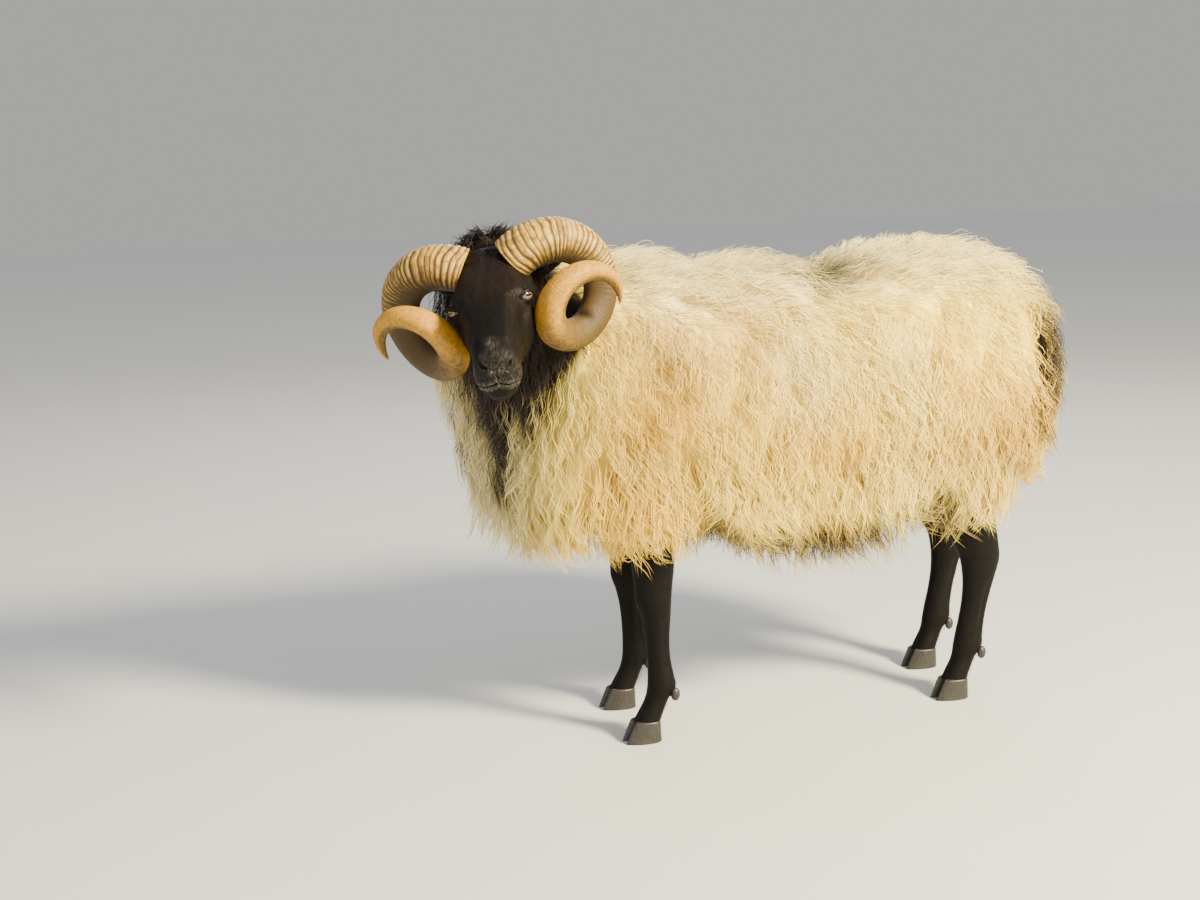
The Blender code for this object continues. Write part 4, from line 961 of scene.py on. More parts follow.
def eyeball(name, side, rings=40, sides=64):
    """A ball about its outward axis, with a low clear dome over the iris."""
    polar = np.linspace(0.0, np.pi, rings + 2)[1:-1, None]
    angle = whole_turn(sides)[None]
    dome = EYE_DOME * np.exp(-(polar / 0.62) ** 4)
    local = np.stack([
        (EYE_RADIUS + dome) * np.cos(polar) + 0.0 * angle,
        (EYE_RADIUS + dome) * np.sin(polar) * np.cos(angle),
        (EYE_RADIUS + dome) * np.sin(polar) * np.sin(angle),
    ], axis=-1)
    centre = mirrored(EYE_CENTRE, side)
    axes = eye_axes(side)
    tips = [from_head(centre + reach * axes[0]) for reach in (EYE_RADIUS + EYE_DOME, -EYE_RADIUS)]
    piece = shell(name, from_head(centre + local @ axes), start=tips[0], end=tips[1])
    ends = np.array([[EYE_RADIUS, 0.0, 0.0], [-EYE_RADIUS, 0.0, 0.0]])
    set_values(piece, "gaze", np.vstack([local.reshape(-1, 3), ends]) / EYE_RADIUS)
    return piece


def body_core():
    """The trunk, neck, tail and upper legs as one smooth closed skin."""
    pieces = [shell("core", tube_rings(tube, CORE_SIDES)) for tube in body_tubes()]
    return remeshed(united(pieces[0], pieces[1:]), CORE_VOXEL, CORE_SMOOTHING)


def core_surface():
    """Points, triangles and outward directions of the body's core, made once."""
    if "core" not in CACHE:
        core = body_core()
        core.data.calc_loop_triangles()
        corners = np.empty(3 * len(core.data.loop_triangles), np.int32)
        core.data.loop_triangles.foreach_get("vertices", corners)
        outward = np.empty(3 * len(core.data.vertices), np.float32)
        core.data.vertex_normals.foreach_get("vector", outward)
        CACHE["core"] = (vertices_of(core), corners.reshape(-1, 3), outward.reshape(-1, 3).astype(float))
        bpy.data.objects.remove(core)
    return CACHE["core"]


def above_core(points):
    """How far points stand out from the core, and which way is out: both from the nearest of its points."""
    core, _, outward = core_surface()
    core_float = core.astype(np.float32)
    size = (core_float ** 2).sum(axis=1)
    nearest = np.concatenate([
        (size - 2.0 * part.astype(np.float32) @ core_float.T).argmin(axis=1)
        for part in np.array_split(points, max(1, len(points) // 700))
    ])
    return dot(points - core[nearest], outward[nearest])[:, 0], outward[nearest]


def spread_over(points, triangles, count, rng):
    """Random places on a surface, evenly spread over its area."""
    a, b, c = (points[triangles[:, i]] for i in range(3))
    share = np.cumsum(np.linalg.norm(np.cross(b - a, c - a), axis=1))
    pick = np.minimum(np.searchsorted(share / share[-1], rng.random(count)), len(share) - 1)
    u, v = rng.random((2, count, 1))
    over = u + v > 1.0
    u, v = np.where(over, 1.0 - u, u), np.where(over, 1.0 - v, v)
    return a[pick] + u * (b[pick] - a[pick]) + v * (c[pick] - a[pick])


def tube_place(points, tube):
    """Where points lie on a tube: their share of its length and their turn about it, both from 0 to 1."""
    centre = tube["centre"]
    i = ((points[:, None] - centre[None]) ** 2).sum(axis=-1).argmin(axis=1)
    spacing = np.linalg.norm(np.gradient(centre, axis=0), axis=1)
    offset = points - centre[i]
    share = (i + dot(offset, tube["along"][i])[:, 0] / spacing[i]) / (len(centre) - 1)
    turn = np.arctan2(dot(offset, tube["side"][i])[:, 0], dot(offset, tube["up"][i])[:, 0])
    return np.clip(share, 0.0, 1.0), turn / (2.0 * np.pi) + 0.5


def rippled(points, rates, phase):
    """A slow, uneven variation over space between -1 and 1, made of three waves."""
    rates = np.asarray(rates, float)
    first = np.sin(points @ rates + phase)
    second = np.sin(points @ (1.7 * rates[[1, 2, 0]]) + 2.1 * phase + 0.8 * first)
    third = np.sin(points @ (2.9 * rates[[2, 0, 1]]) - 1.3 * phase + 0.9 * second)
    return (first + 0.7 * second + 0.5 * third) / 2.2


def markings(points):
    """How dark, how tan and how grey the wool is: patches, hem, breast, back and slow variation, partly
    painted shade by the left horn's coil and under the belly.
    """
    x, y, z = points.T
    folded = np.stack([x, np.abs(y), z], axis=-1)
    away = (((folded[:, None] - WOOL_PATCHES[None, :, :3]) / WOOL_PATCHES[None, :, 3:6]) ** 2).sum(axis=-1)
    marks = np.exp(-0.5 * away) @ WOOL_PATCHES[:, 6:]
    uneven = rippled(points, (9.0, 5.0, 7.0), 0.4)
    streaky = rippled(points, (31.0, 17.0, 6.0), 1.9)
    hem = 1.0 - smooth_step(0.325, 0.400, z)
    back = smooth_step(0.690, 0.790, z) * smooth_step(-0.45, -0.30, x)
    breast = 1.0 - smooth_step(-0.530, -0.455, x)
    low = 1.0 - smooth_step(0.600, 0.680, z)
    bands = sum(
        np.exp(-((y + 0.012 * np.sin(28.0 * z) - place) / half) ** 2)
        * smooth_step(bottom - 0.03, bottom + 0.03, z) * (1.0 - smooth_step(top - 0.03, top + 0.03, z))
        for place, half, bottom, top in BREAST_BANDS
    )
    head_side = to_head(points)
    far_nape = smooth_step(0.0, 0.06, y) * smooth_step(0.64, 0.70, z)
    from_head_middle = np.linalg.norm(head_side - [-0.02, 0.0, -0.07], axis=1) * (1.0 - 0.28 * far_nape)
    near_head = 1.0 - smooth_step(0.135, 0.200, from_head_middle)
    # Painted shadow of the left horn's coil, with browner wool, darkens the neck behind it, on the left side
    # only.
    coil_shadow_and_brown = 1.0 - smooth_step(*COIL_SHADE_REACH, np.linalg.norm(points - COIL_SHADE, axis=1))
    # The low wool by the hem is darker: partly browner wool, partly painted shade under the belly.
    dark = coil_shadow_and_brown + marks[:, 0] + 0.10 * hem + 0.20 * smooth_step(0.2, 0.9, uneven) * hem
    dark = dark + 1.1 * breast * bands + 1.3 * near_head + 0.10 * smooth_step(0.2, 0.9, streaky)
    grey = marks[:, 2] + 0.80 * back + 0.90 * breast * low + 0.15 * smooth_step(0.0, 1.0, -uneven)
    tan = marks[:, 1] + 0.25 * smooth_step(-0.1, 0.9, uneven) + 0.35 * hem
    tan = tan + 0.22 * smooth_step(0.1, 0.9, streaky)
    tan = tan * (1.0 - 0.85 * breast * low) * (1.0 - 0.6 * back)
    return np.clip(np.stack([dark, tan, grey], axis=-1), 0.0, 1.0)


def lie_of_wool(points, normal):
    """The way the wool flows: down the sides, out and back over the back, straight down on the breast."""
    top = smooth_step(0.30, 0.95, normal[:, 2:])
    front = 1.0 - smooth_step(-0.52, -0.36, points[:, :1])
    lean = (0.20 + 0.75 * top) * (1.0 - 0.9 * front * (1.0 - top))
    sideways = 0.55 * top * np.tanh(points[:, 1:2] / 0.05)
    wish = np.hstack([lean, sideways, -1.0 + 0.7 * top])
    swirl = 0.26 * rippled(points, (7.1, 4.0, 5.3), 0.9) + 0.24 * rippled(points, (19.0, 11.0, 14.0), 2.2)
    swirl = swirl[:, None] * (1.0 - 0.7 * front)
    return np.cos(swirl) * wish + np.sin(swirl) * np.cross(normal, wish)


def guide_paths(roots, length, depth):
    """Paths of wool: each rises from the skin to the coat's depth, flows with the lie and hangs free below.

    Every step goes along the lie laid flat on the body, then moves out to the depth wanted there.
    Where the body turns under, the path hangs straight down instead.
    """
    point = roots.copy()
    path, outward = [], []
    for step in range(GUIDE_STEPS + 1):
        share = step / GUIDE_STEPS
        distance, normal = above_core(point)
        hang = smooth_step(0.05, 0.55, -normal[:, 2:])
        rise = 0.10 + 0.90 * np.sin(0.5 * np.pi * min(1.0, 1.25 * share)) ** 0.9
        point = point + (1.0 - hang) * normal * (depth[:, None] * rise - distance[:, None])
        path.append(point)
        outward.append(normal)
        lie = lie_of_wool(point, normal)
        flat = unit(lie - dot(lie, normal) * normal)
        down = np.array([0.10, 0.0, -1.0]) + 0.18 * normal * [1.0, 1.0, 0.0]
        way = unit((1.0 - hang) * flat + hang * down)
        point = point + way * (length / GUIDE_STEPS)[:, None]
    return np.stack(path, axis=1), np.stack(outward, axis=1)


def waved(path, outward, phase, curl, lean):
    """Lays a slow wave over each path and bends its last part round into a hook.

    The wave is a sine across the path and a weaker one in and out. The hook is an arc that starts
    straight on and turns by the curl, to the side and a little outwards.
    """
    way = unit(np.gradient(path, axis=1))
    across = unit(np.cross(way, outward))
    length = np.linalg.norm(np.diff(path, axis=1), axis=2).sum(axis=1)[:, None]
    share = np.linspace(0.0, 1.0, GUIDE_STEPS + 1)[None]
    beat = 2.0 * np.pi * WAVES * share + phase[:, None]
    wave = np.sin(beat) * WAVE_HEIGHT * length * np.minimum(1.0, 2.5 * share)
    lift = np.cos(beat + 0.7 * phase[:, None]) * 0.5 * WAVE_HEIGHT * length * share
    turn = np.clip(HOOK_TURN * curl, -2.9, 2.9)[:, None]
    turn = np.where(np.abs(turn) < 0.05, 0.05, turn)
    bent = np.maximum(share - HOOK_START, 0.0) * length
    radius = (1.0 - HOOK_START) * length / turn
    ahead = radius * np.sin(bent / radius) - bent
    aside = radius * (1.0 - np.cos(bent / radius))
    sideways = np.cos(lean)[:, None, None] * across + (np.sin(lean) * np.sign(curl))[:, None, None] * outward
    path = path + wave[..., None] * across + lift[..., None] * outward
    return path + ahead[..., None] * way + aside[..., None] * sideways


def cut_at_hem(paths, outward, rng):
    """Shortens the paths that would hang below the hem, by reading each one only as far as the hem."""
    hem = np.interp(paths[:, -1, 0], HEM[:, 0], HEM[:, 1]) + HEM_UNEVEN * rng.normal(size=len(paths))
    drop = np.maximum(paths[:, 0, 2] - paths[:, -1, 2], 0.001)
    reach = np.clip((paths[:, 0, 2] - hem) / drop, 0.30, 1.0)
    at = np.linspace(0.0, 1.0, GUIDE_STEPS + 1)[None] * reach[:, None] * GUIDE_STEPS
    low = np.minimum(at.astype(int), GUIDE_STEPS - 1)
    part = (at - low)[..., None]
    rows = np.arange(len(paths))[:, None]
    return (
        paths[rows, low] * (1.0 - part) + paths[rows, low + 1] * part,
        outward[rows, low] * (1.0 - part) + outward[rows, low + 1] * part,
    )


def strand_mesh(name, paths, outward, width, patches, tone, unwrap):
    """Tapered strands of three sides, closed at the root and drawn to a point at the tip.

    The first ring stands at the root, each next one across its path, and the sides are a triangle that
    lies flat to the way out. The patches are given for every point of a path.
    """
    count, points_along = paths.shape[:2]
    rings = points_along - 1
    way = unit(np.gradient(paths, axis=1))
    across = unit(np.cross(way, outward[:, None]))
    thick = np.cross(across, way)
    share = np.linspace(0.0, 1.0, points_along)[:-1]
    taper = (0.55 + 1.6 * share * (1.0 - share)) * (1.0 - 0.55 * share ** 3)
    half = 0.5 * width[:, None] * taper[None]
    turn = 2.0 * np.pi * np.arange(3)[:, None] / 3.0
    flat_side = STRAND_FLATNESS * np.sin(turn) * thick[:, :-1, None]
    body = paths[:, :-1, None] + half[..., None, None] * (np.cos(turn) * across[:, :-1, None] + flat_side)
    each = 3 * rings + 1
    vertices = np.concatenate([body.reshape(count, 3 * rings, 3), paths[:, -1:]], axis=1)
    ring, side = np.meshgrid(np.arange(rings - 1), np.arange(3), indexing="ij")
    a, b = (3 * ring + side).ravel(), (3 * ring + (side + 1) % 3).ravel()
    quads = np.stack([a, b, b + 3, a + 3], axis=1)
    last = 3 * (rings - 1)
    tips = [(last + i, last + (i + 1) % 3, each - 1) for i in range(3)]
    triangles = np.array(tips + [(2, 1, 0)])
    base = each * np.arange(count)[:, None, None]
    quads, triangles = (quads + base).reshape(-1, 4), (triangles + base).reshape(-1, 3)
    piece = mesh_object(name, vertices.reshape(-1, 3), quads, triangles)
    along = np.concatenate([np.repeat(share, 3), [1.0]])
    at = np.concatenate([np.repeat(np.arange(rings), 3), [rings]])
    set_values(piece, "patches", patches[:, at].reshape(-1, 3))
    second_tone = tone * 7.3 % 1.0
    # The share along each strand, which the wool colours use to paint shade towards the root, and two tones.
    strand = [np.tile(along, count), np.repeat(tone, each), np.repeat(second_tone, each)]
    set_values(piece, "strand", np.stack(strand, axis=1))
    corner = np.concatenate([np.tile([0.0, 0.5, 1.0], rings), [0.5]])
    local = np.stack([corner, along], axis=1)
    uv = unwrap[:, None] * (1.0 - PATCH) + PATCH * local[None]
    write_uv(piece, uv.reshape(-1, 2))
    return piece


def write_uv(piece, uv):
    """The map that colours are kept in: one place for each vertex."""
    loops = np.empty(len(piece.data.loops), np.int32)
    piece.data.loops.foreach_get("vertex_index", loops)
    layer = piece.data.uv_layers.new(name="OFBake")
    layer.data.foreach_set("uv", uv[loops].astype(np.float32).ravel())


def split_strands(guides, per_clump, gather, rng):
    """Several strands round each guide: apart at the root, closer at the tip where the wool gathers.

    A strand is its guide read over a share of its length, moved by an offset that fades along it.
    """
    count = len(guides) * per_clump
    guide = np.repeat(guides, per_clump, axis=0)
    gather = np.repeat(gather, per_clump)[:, None, None]
    reach = 1.0 - 0.30 * rng.random(count) ** 1.4
    at = STRAND_POINTS[None] * reach[:, None] * GUIDE_STEPS
    low = np.minimum(at.astype(int), GUIDE_STEPS - 1)
    part = (at - low)[..., None]
    rows = np.arange(count)[:, None]
    path = guide[rows, low] * (1.0 - part) + guide[rows, low + 1] * part
    offset = rng.normal(size=(count, 1, 3)) * ROOT_SPREAD
    drift = offset * (1.0 - gather) * 0.55 + rng.normal(size=(count, 1, 3)) * TIP_SPREAD
    bend = rng.normal(size=(count, 1, 3)) * 0.0016
    share = STRAND_POINTS[None, :, None]
    return path + offset * (1.0 - share) + drift * share + bend * np.sin(np.pi * share)


def coat_sizes(points, normal):
    """Length, depth and gathering of the wool by place: long and gathered on the breast and at the hem."""
    x, z = points[:, 0], points[:, 2]
    breast = 1.0 - smooth_step(-0.52, -0.40, x)
    low = 1.0 - smooth_step(0.44, HEM_START, z)
    under = smooth_step(0.10, 0.60, -normal[:, 2])
    top = smooth_step(0.55, 0.95, normal[:, 2])
    length = 0.074 + 0.026 * breast - 0.008 * top
    to_hem = np.clip((z - np.interp(x, HEM[:, 0], HEM[:, 1])) / 0.92, *HEM_REACH)
    length = length + low * np.maximum(to_hem - length, 0.0)
    length = length * (1.0 - under) + np.maximum(to_hem, 0.075) * under
    rear = smooth_step(0.38, 0.46, x)
    depth = 0.040 - 0.004 * breast - 0.002 * top - 0.018 * rear
    from_poll = np.linalg.norm(to_head(points) - [0.0, -0.02, -0.06], axis=1)
    near_head = 1.0 - smooth_step(0.09, 0.22, from_poll)
    tail = smooth_step(0.455, 0.480, x)
    depth = depth * (1.0 - 0.62 * near_head) * (1.0 - 0.55 * tail)
    length = length * (1.0 - 0.50 * near_head) * (1.0 - 0.35 * tail)
    rump = smooth_step(0.30, 0.42, x)
    gather = np.clip(0.15 + 0.75 * low + 0.35 * rump + 0.30 * breast, 0.0, 0.92)
    return length, depth, gather


def coat_region(points):
    """Which piece of the coat a root belongs to: the neck, the tail, or a third of a side."""
    x, y, _ = points.T
    neck = (points - SHOULDER_POINT) @ SHOULDER_NORMAL > -0.01
    third = np.digitize(x, [-0.13, 0.14])
    region = 2 + 2 * third + (y > 0)
    region = np.where(neck, (y > -0.04).astype(int), region)
    return np.where((x > 0.455) & (np.abs(y) < 0.05) & ~neck, 8, region)


def coat_guides():
    """Guides over the whole body, with how they gather and the piece each belongs to, made once."""
    if "guides" in CACHE:
        return CACHE["guides"]
    rng = np.random.default_rng(SEED)
    clumps = int(bpy.context.scene.ram_sizes.strand_count / STRANDS_PER_CLUMP)
    points, triangles, _ = core_surface()
    roots = spread_over(points, triangles, clumps, rng)
    head = to_head(roots)
    inside_head = (np.abs(head[:, 0]) < 0.055) & (head[:, 1] > -0.02)
    inside_head &= (head[:, 2] > -0.15) & (head[:, 2] < 0.01)
    roots = roots[(roots[:, 2] > LOWEST_ROOT) & ~inside_head]
    _, normal = above_core(roots)
    length, depth, gather = coat_sizes(roots, normal)
    length = length * rng.uniform(0.84, 1.12, len(roots))
    depth = depth * rng.uniform(0.70, 1.05, len(roots))
    phase = 22.0 * roots[:, 0] + 34.0 * roots[:, 2] + 3.0 * rippled(roots, (12.0, 8.0, 10.0), 0.3)
    phase = phase + rng.normal(size=len(roots)) * 0.6
    curl = 0.9 * rippled(roots, (23.0, 15.0, 20.0), 1.1) + 0.55 * rng.normal(size=len(roots))
    curl = curl * (0.55 + 0.9 * gather)
    lean = rng.uniform(-0.2, 0.8, len(roots))
    paths, outward = cut_at_hem(*guide_paths(roots, length, depth), rng)
    paths = waved(paths, outward, phase, curl, lean)
    CACHE["guides"] = (roots, paths, outward[:, GUIDE_STEPS // 2], gather, coat_region(roots))
    return CACHE["guides"]


def unwrapped(points, region):
    """A place for each root on the unwrap of its piece: along the body and round it."""
    tube = neck_tube() if region < 2 else tail_tube() if region == 8 else trunk_tube()
    share, turn = tube_place(points, tube)
    return np.stack([turn, share], axis=1)


def coat_piece(region, rng):
    """One piece of the long wool: the strands of its own guides, with the markings read along them."""
    roots, guides, outward, gather, regions = coat_guides()
    chosen = regions == region
    paths = split_strands(guides[chosen], STRANDS_PER_CLUMP, gather[chosen], rng)
    roots = np.repeat(roots[chosen], STRANDS_PER_CLUMP, axis=0)
    outward = np.repeat(outward[chosen], STRANDS_PER_CLUMP, axis=0)
    clump_tone = np.repeat(rng.random(chosen.sum()), STRANDS_PER_CLUMP)
    tone = 0.45 * clump_tone + 0.55 * rng.random(len(paths))
    width = bpy.context.scene.ram_sizes.strand_width * rng.uniform(0.7, 1.3, len(paths))
    at_path = markings(paths.reshape(-1, 3)).reshape(paths.shape)
    patches = 0.3 * markings(roots)[:, None] + 0.7 * at_path
    return strand_mesh(COAT_NAMES[region], paths, outward, width, patches, tone, unwrapped(roots, region))


def skin_values(piece):
    """Stores the skin's masks: short hair against wool, the face's own marks, wool patches and hair grain."""
    points = vertices_of(piece)
    head = with_turned_muzzle(to_head(points), -MUZZLE_TURN)
    hair = np.empty(len(points), np.float32)
    piece.data.attributes["hair"].data.foreach_get("value", hair)
    set_values(piece, "patches", markings(points))
    # As halfway along a strand: the wool colours paint almost none of their shade towards the roots on the
    # skin.
    set_values(piece, "strand", np.tile([0.50, 0.5, 0.5], (len(points), 1)))
    near_head = (np.linalg.norm(head - [0.0, 0.10, -0.06], axis=1) < 0.20)[:, None]
    grain = np.where(near_head, head * [1.0, 0.22, 0.55], points * [1.0, 1.0, 0.20])
    set_values(piece, "grain", grain)
    set_values(piece, "face", face_marks(head) * near_head * hair[:, None])


def face_marks(head):
    """Grey-white lips, grey flecks and painted highlights on the nose, brown skin round the eyes and on the
    forehead, and bare black skin.
    """
    across, forward, up = head.T
    level = up - mouth_height(across)
    front = smooth_step(0.210, 0.232, forward)
    upper_lip = smooth_step(-0.001, 0.001, level) * (1.0 - smooth_step(0.003, 0.011, level))
    lower_lip = smooth_step(-0.0105, -0.0075, level) * (1.0 - smooth_step(-0.002, 0.0, level))
    lips = front * (0.62 * upper_lip + 0.48 * lower_lip) * np.clip(0.80 - 14.0 * across, 0.35, 1.1)
    # Pale marks on the nose's top, by the nostrils and over the pad: partly grey hair, partly painted
    # highlights.
    grey_spot_and_highlight = 0.34 * np.exp(-((forward - 0.219) / 0.009) ** 2 - ((across + 0.002) / 0.0085) ** 2)
    flecks_and_highlight = swelling(head, (0.0060, 0.2520, -0.0400), 0.45, (0.0030, 0.0060, 0.0050))
    bare = front * smooth_step(0.010, 0.016, level) * (1.0 - smooth_step(0.026, 0.034, level))
    forehead = smooth_step(-0.045, -0.015, up) * (1.0 - smooth_step(0.10, 0.16, forward))
    below_eye = swelling(head, (0.050, 0.118, -0.048), 1.0, (0.02, 0.016, 0.012))
    away = np.stack([np.abs(across), forward, up], axis=-1) - EYE_CENTRE
    lids = 1.0 - smooth_step(EYE_RADIUS + 0.0016, EYE_RADIUS + 0.0052, np.linalg.norm(away, axis=1))
    brown = np.clip(0.80 * forehead + 0.8 * below_eye, 0.0, 1.0)
    pad_flecks_and_glints = 0.10 * smooth_step(0.222, 0.242, forward) * smooth_step(0.004, 0.010, level)
    pale = lips + grey_spot_and_highlight * smooth_step(-0.05, -0.03, up) + flecks_and_highlight + pad_flecks_and_glints
    return np.stack([np.clip(pale, 0.0, 1.0), brown, np.clip(bare + lids, 0.0, 1.0)], axis=-1)


def skin_piece():
    """One skin: the body's core with the head, ears, lids and legs grown into it."""
    core = body_core()
    parts = [head_shell(), ear(1), ear(-1)]
    parts += [eyelid(side, upper) for side in (1, -1) for upper in (True, False)]
    parts += [shell("leg", leg_rings(place)) for place in LEG_PLACES]
    for piece, hairy in [(core, 0.0)] + [(part, 1.0) for part in parts]:
        set_values(piece, "hair", np.full(len(piece.data.vertices), hairy))
    core = united(core, parts)
    core.name = "skin"
    core.data.shade_smooth()
    skin_values(core)
    return core


def hair_tufts(name, roots, normal, lie, length, width, raise_by, unwrap, rng):
    """Short hair: bent tapered tufts that leave the skin at a low angle and lie along it."""
    count = len(roots)
    flat = unit(lie - dot(lie, normal) * normal + rng.normal(size=(count, 3)) * 0.14)
    share = np.array([0.0, 0.55, 1.0])[None, :, None]
    lift = raise_by[:, None, None] * (1.0 - 0.55 * share)
    paths = roots[:, None] + length[:, None, None] * share * (flat[:, None] + lift * normal[:, None])
    paths = paths - 0.0008 * normal[:, None] * (1.0 - share)
    patches = np.zeros_like(paths)
    return strand_mesh(name, paths, normal, width, patches, rng.random(count), unwrap)


def grid_samples(grid, normal, count, rng):
    """Random places on a closed grid, spread over its area, with their normals and grid shares."""
    edge = np.diff(grid, axis=0)
    round_edge = (np.roll(grid, -1, axis=1) - grid)[:-1]
    share = np.cumsum(np.linalg.norm(np.cross(edge, round_edge), axis=-1).ravel())
    pick = np.minimum(np.searchsorted(share / share[-1], rng.random(count)), len(share) - 1)
    ring, side = np.divmod(pick, grid.shape[1])
    u, v = rng.random((2, count, 1))
    after = (side + 1) % grid.shape[1]
    low = grid[ring, side] * (1 - v) + grid[ring, after] * v
    high = grid[ring + 1, side] * (1 - v) + grid[ring + 1, after] * v
    spread = np.stack([(side + v[:, 0]) / grid.shape[1], (ring + u[:, 0]) / grid.shape[0]], axis=1)
    return low * (1 - u) + high * u, normal[ring, side], spread


def face_hair():
    """Hair on the face: none over the lips, nostrils and eyes, longer on the cheeks and jaw."""
    rng = np.random.default_rng(SEED + 1)
    grid, normal = head_grid()
    local, out, spread = grid_samples(grid, normal, FACE_TUFTS, rng)
    forward, up = local[:, 1], local[:, 2]
    eye_gap = np.linalg.norm(np.abs(local) * [1, 0, 0] + local * [0, 1, 1] - EYE_CENTRE, axis=1)
    keep = (forward < 0.216) & (forward > -0.02) & (eye_gap > 0.0215)
    local, out, spread, forward, up = local[keep], out[keep], spread[keep], forward[keep], up[keep]
    cheek = (1.0 - smooth_step(0.03, 0.11, forward)) * (1.0 - smooth_step(-0.07, -0.03, up))
    jaw = (1.0 - smooth_step(-0.115, -0.085, up)) * (1.0 - smooth_step(0.14, 0.20, forward))
    poll = (1.0 - smooth_step(0.00, 0.05, forward)) * smooth_step(-0.04, -0.01, up)
    ahead = 1.0 - 1.3 * np.maximum(cheek, jaw)
    lie = np.stack([0.15 * np.sign(local[:, 0]), ahead, -0.25 - 0.8 * cheek], axis=1)
    length = 0.0042 + 0.0070 * cheek + 0.0060 * jaw + 0.009 * poll
    length = length * rng.uniform(0.7, 1.3, len(local))
    raise_by = 0.14 + 0.16 * cheek + 0.20 * poll
    width = 0.0009 * rng.uniform(0.8, 1.3, len(local))
    out, lie = out @ HEAD_AXES, lie @ HEAD_AXES
    return hair_tufts("face_hair", from_head(local), out, lie, length, width, raise_by, spread, rng)


def leg_hair(place, number):
    """Hair on a leg: close and downward, longer behind the cannon, at the fetlock and over the hoof."""
    rng = np.random.default_rng(SEED + 10 + number)
    rings = leg_rings(place)
    outward = unit((rings - rings.mean(axis=1, keepdims=True)) * [1.0, 1.0, 0.0])
    roots, out, spread = grid_samples(rings, outward, LEG_TUFTS, rng)
    height = roots[:, 2]
    behind = smooth_step(0.2, 0.9, out[:, 0])
    low = 1.0 - smooth_step(0.105, 0.150, height)
    coronet = 1.0 - smooth_step(0.038, 0.050, height)
    length = 0.0050 + 0.003 * behind + 0.004 * behind * low + 0.003 * coronet
    length = np.minimum(length * rng.uniform(0.7, 1.3, len(roots)), height - 0.020)
    width = 0.00085 * rng.uniform(0.8, 1.3, len(roots))
    raise_by = 0.10 + 0.14 * behind * low
    lie = np.tile([0.05, 0.0, -1.0], (len(roots), 1))
    return hair_tufts(f"leg_hair_{place}", roots, out, lie, length, width, raise_by, spread, rng)


def crest_hair():
    """Long black hair on the nape: it stands up behind the horns and falls to both sides of the neck."""
    rng = np.random.default_rng(SEED + 5)
    tube = neck_tube()
    rings = tube_rings(tube, CORE_SIDES)
    outward = unit(rings - tube["centre"][:, None])
    roots, out, spread = grid_samples(rings, outward, 9 * CREST_TUFTS, rng)
    high = dot(out, np.broadcast_to(HEAD_AXES[2], out.shape))[:, 0] > 0.15
    near = np.linalg.norm(to_head(roots) - CREST_MIDDLE, axis=1) < CREST_REACH
    chosen = np.flatnonzero(high & near)[:CREST_TUFTS]
    roots, out, spread = roots[chosen], out[chosen], spread[chosen]
    length = 0.034 * rng.uniform(0.7, 1.2, len(roots))
    side = np.sign(to_head(roots)[:, :1])
    lie = 0.5 * side * HEAD_AXES[0] - 0.8 * HEAD_AXES[1] + 0.2 * HEAD_AXES[2]
    width = 0.0017 * rng.uniform(0.8, 1.3, len(roots))
    return hair_tufts("crest_hair", roots, out, lie, length, width, np.full(len(roots), 0.26), spread, rng)


def ear_hair(side):
    """Hair along an ear, a little longer over its rim."""
    rng = np.random.default_rng(SEED + 20 + side)
    rings = ear_rings(side)
    way, across, _ = ear_frame(side)
    edge = np.diff(rings, axis=0, append=rings[-1:] + (rings[-1:] - rings[-2:-1]))
    out = unit(np.cross(np.roll(rings, -1, axis=1) - np.roll(rings, 1, axis=1), edge))
    out = out * np.sign(dot(out, rings - rings.mean(axis=1, keepdims=True)) + 1e-9)
    roots, out, spread = grid_samples(rings, out, EAR_TUFTS, rng)
    rim = np.abs(dot(out, across))[:, 0] ** 2
    length = (0.0060 + 0.0050 * rim) * rng.uniform(0.7, 1.3, len(roots))
    width = 0.0008 * rng.uniform(0.8, 1.3, len(roots))
    lie = np.tile(way, (len(roots), 1))
    name = "ear_hair_left" if side > 0 else "ear_hair_right"
    out, lie = out @ HEAD_AXES, lie @ HEAD_AXES
    return hair_tufts(name, from_head(roots), out, lie, length, width, 0.15 + 0.3 * rim, spread, rng)


def put_node(tree, kind, inputs=None, **settings):
    """Adds a node with its settings; each input is given a value or is linked to a socket."""
    node = tree.nodes.new(kind)
    for key, value in settings.items():
        setattr(node, key, value)
    for key, value in (inputs or {}).items():
        if isinstance(value, bpy.types.NodeSocket):
            tree.links.new(value, node.inputs[key])
        else:
            node.inputs[key].default_value = value
    row = len(tree.nodes)
    node.location = (220.0 * (row % 12), -260.0 * (row // 12))
    return node


def maths(tree, operation, a, b=0.0, c=0.0, clamp=False):
    """One sum, product or other operation on up to three values."""
    node = put_node(tree, "ShaderNodeMath", {0: a, 1: b, 2: c}, operation=operation, use_clamp=clamp)
    return node.outputs[0]


def blended(tree, factor, a, b, blend="MIX"):
    """A colour between a and b, or b laid over a with the blend named."""
    node = put_node(tree, "ShaderNodeMix", {0: factor, 6: a, 7: b}, data_type="RGBA", blend_type=blend)
    return node.outputs[2]


def ranged(tree, value, low, high, to_low=0.0, to_high=1.0):
    """A value carried smoothly from one range to another."""
    inputs = {"Value": value, "From Min": low, "From Max": high, "To Min": to_low, "To Max": to_high}
    return put_node(tree, "ShaderNodeMapRange", inputs, interpolation_type="SMOOTHSTEP").outputs[0]


def noise(tree, vector, scale, detail=3.0, distortion=0.0):
    """Cloudy noise between 0 and 1 over the vector."""
    inputs = {"Vector": vector, "Scale": scale, "Detail": detail, "Distortion": distortion}
    return put_node(tree, "ShaderNodeTexNoise", inputs).outputs["Fac"]


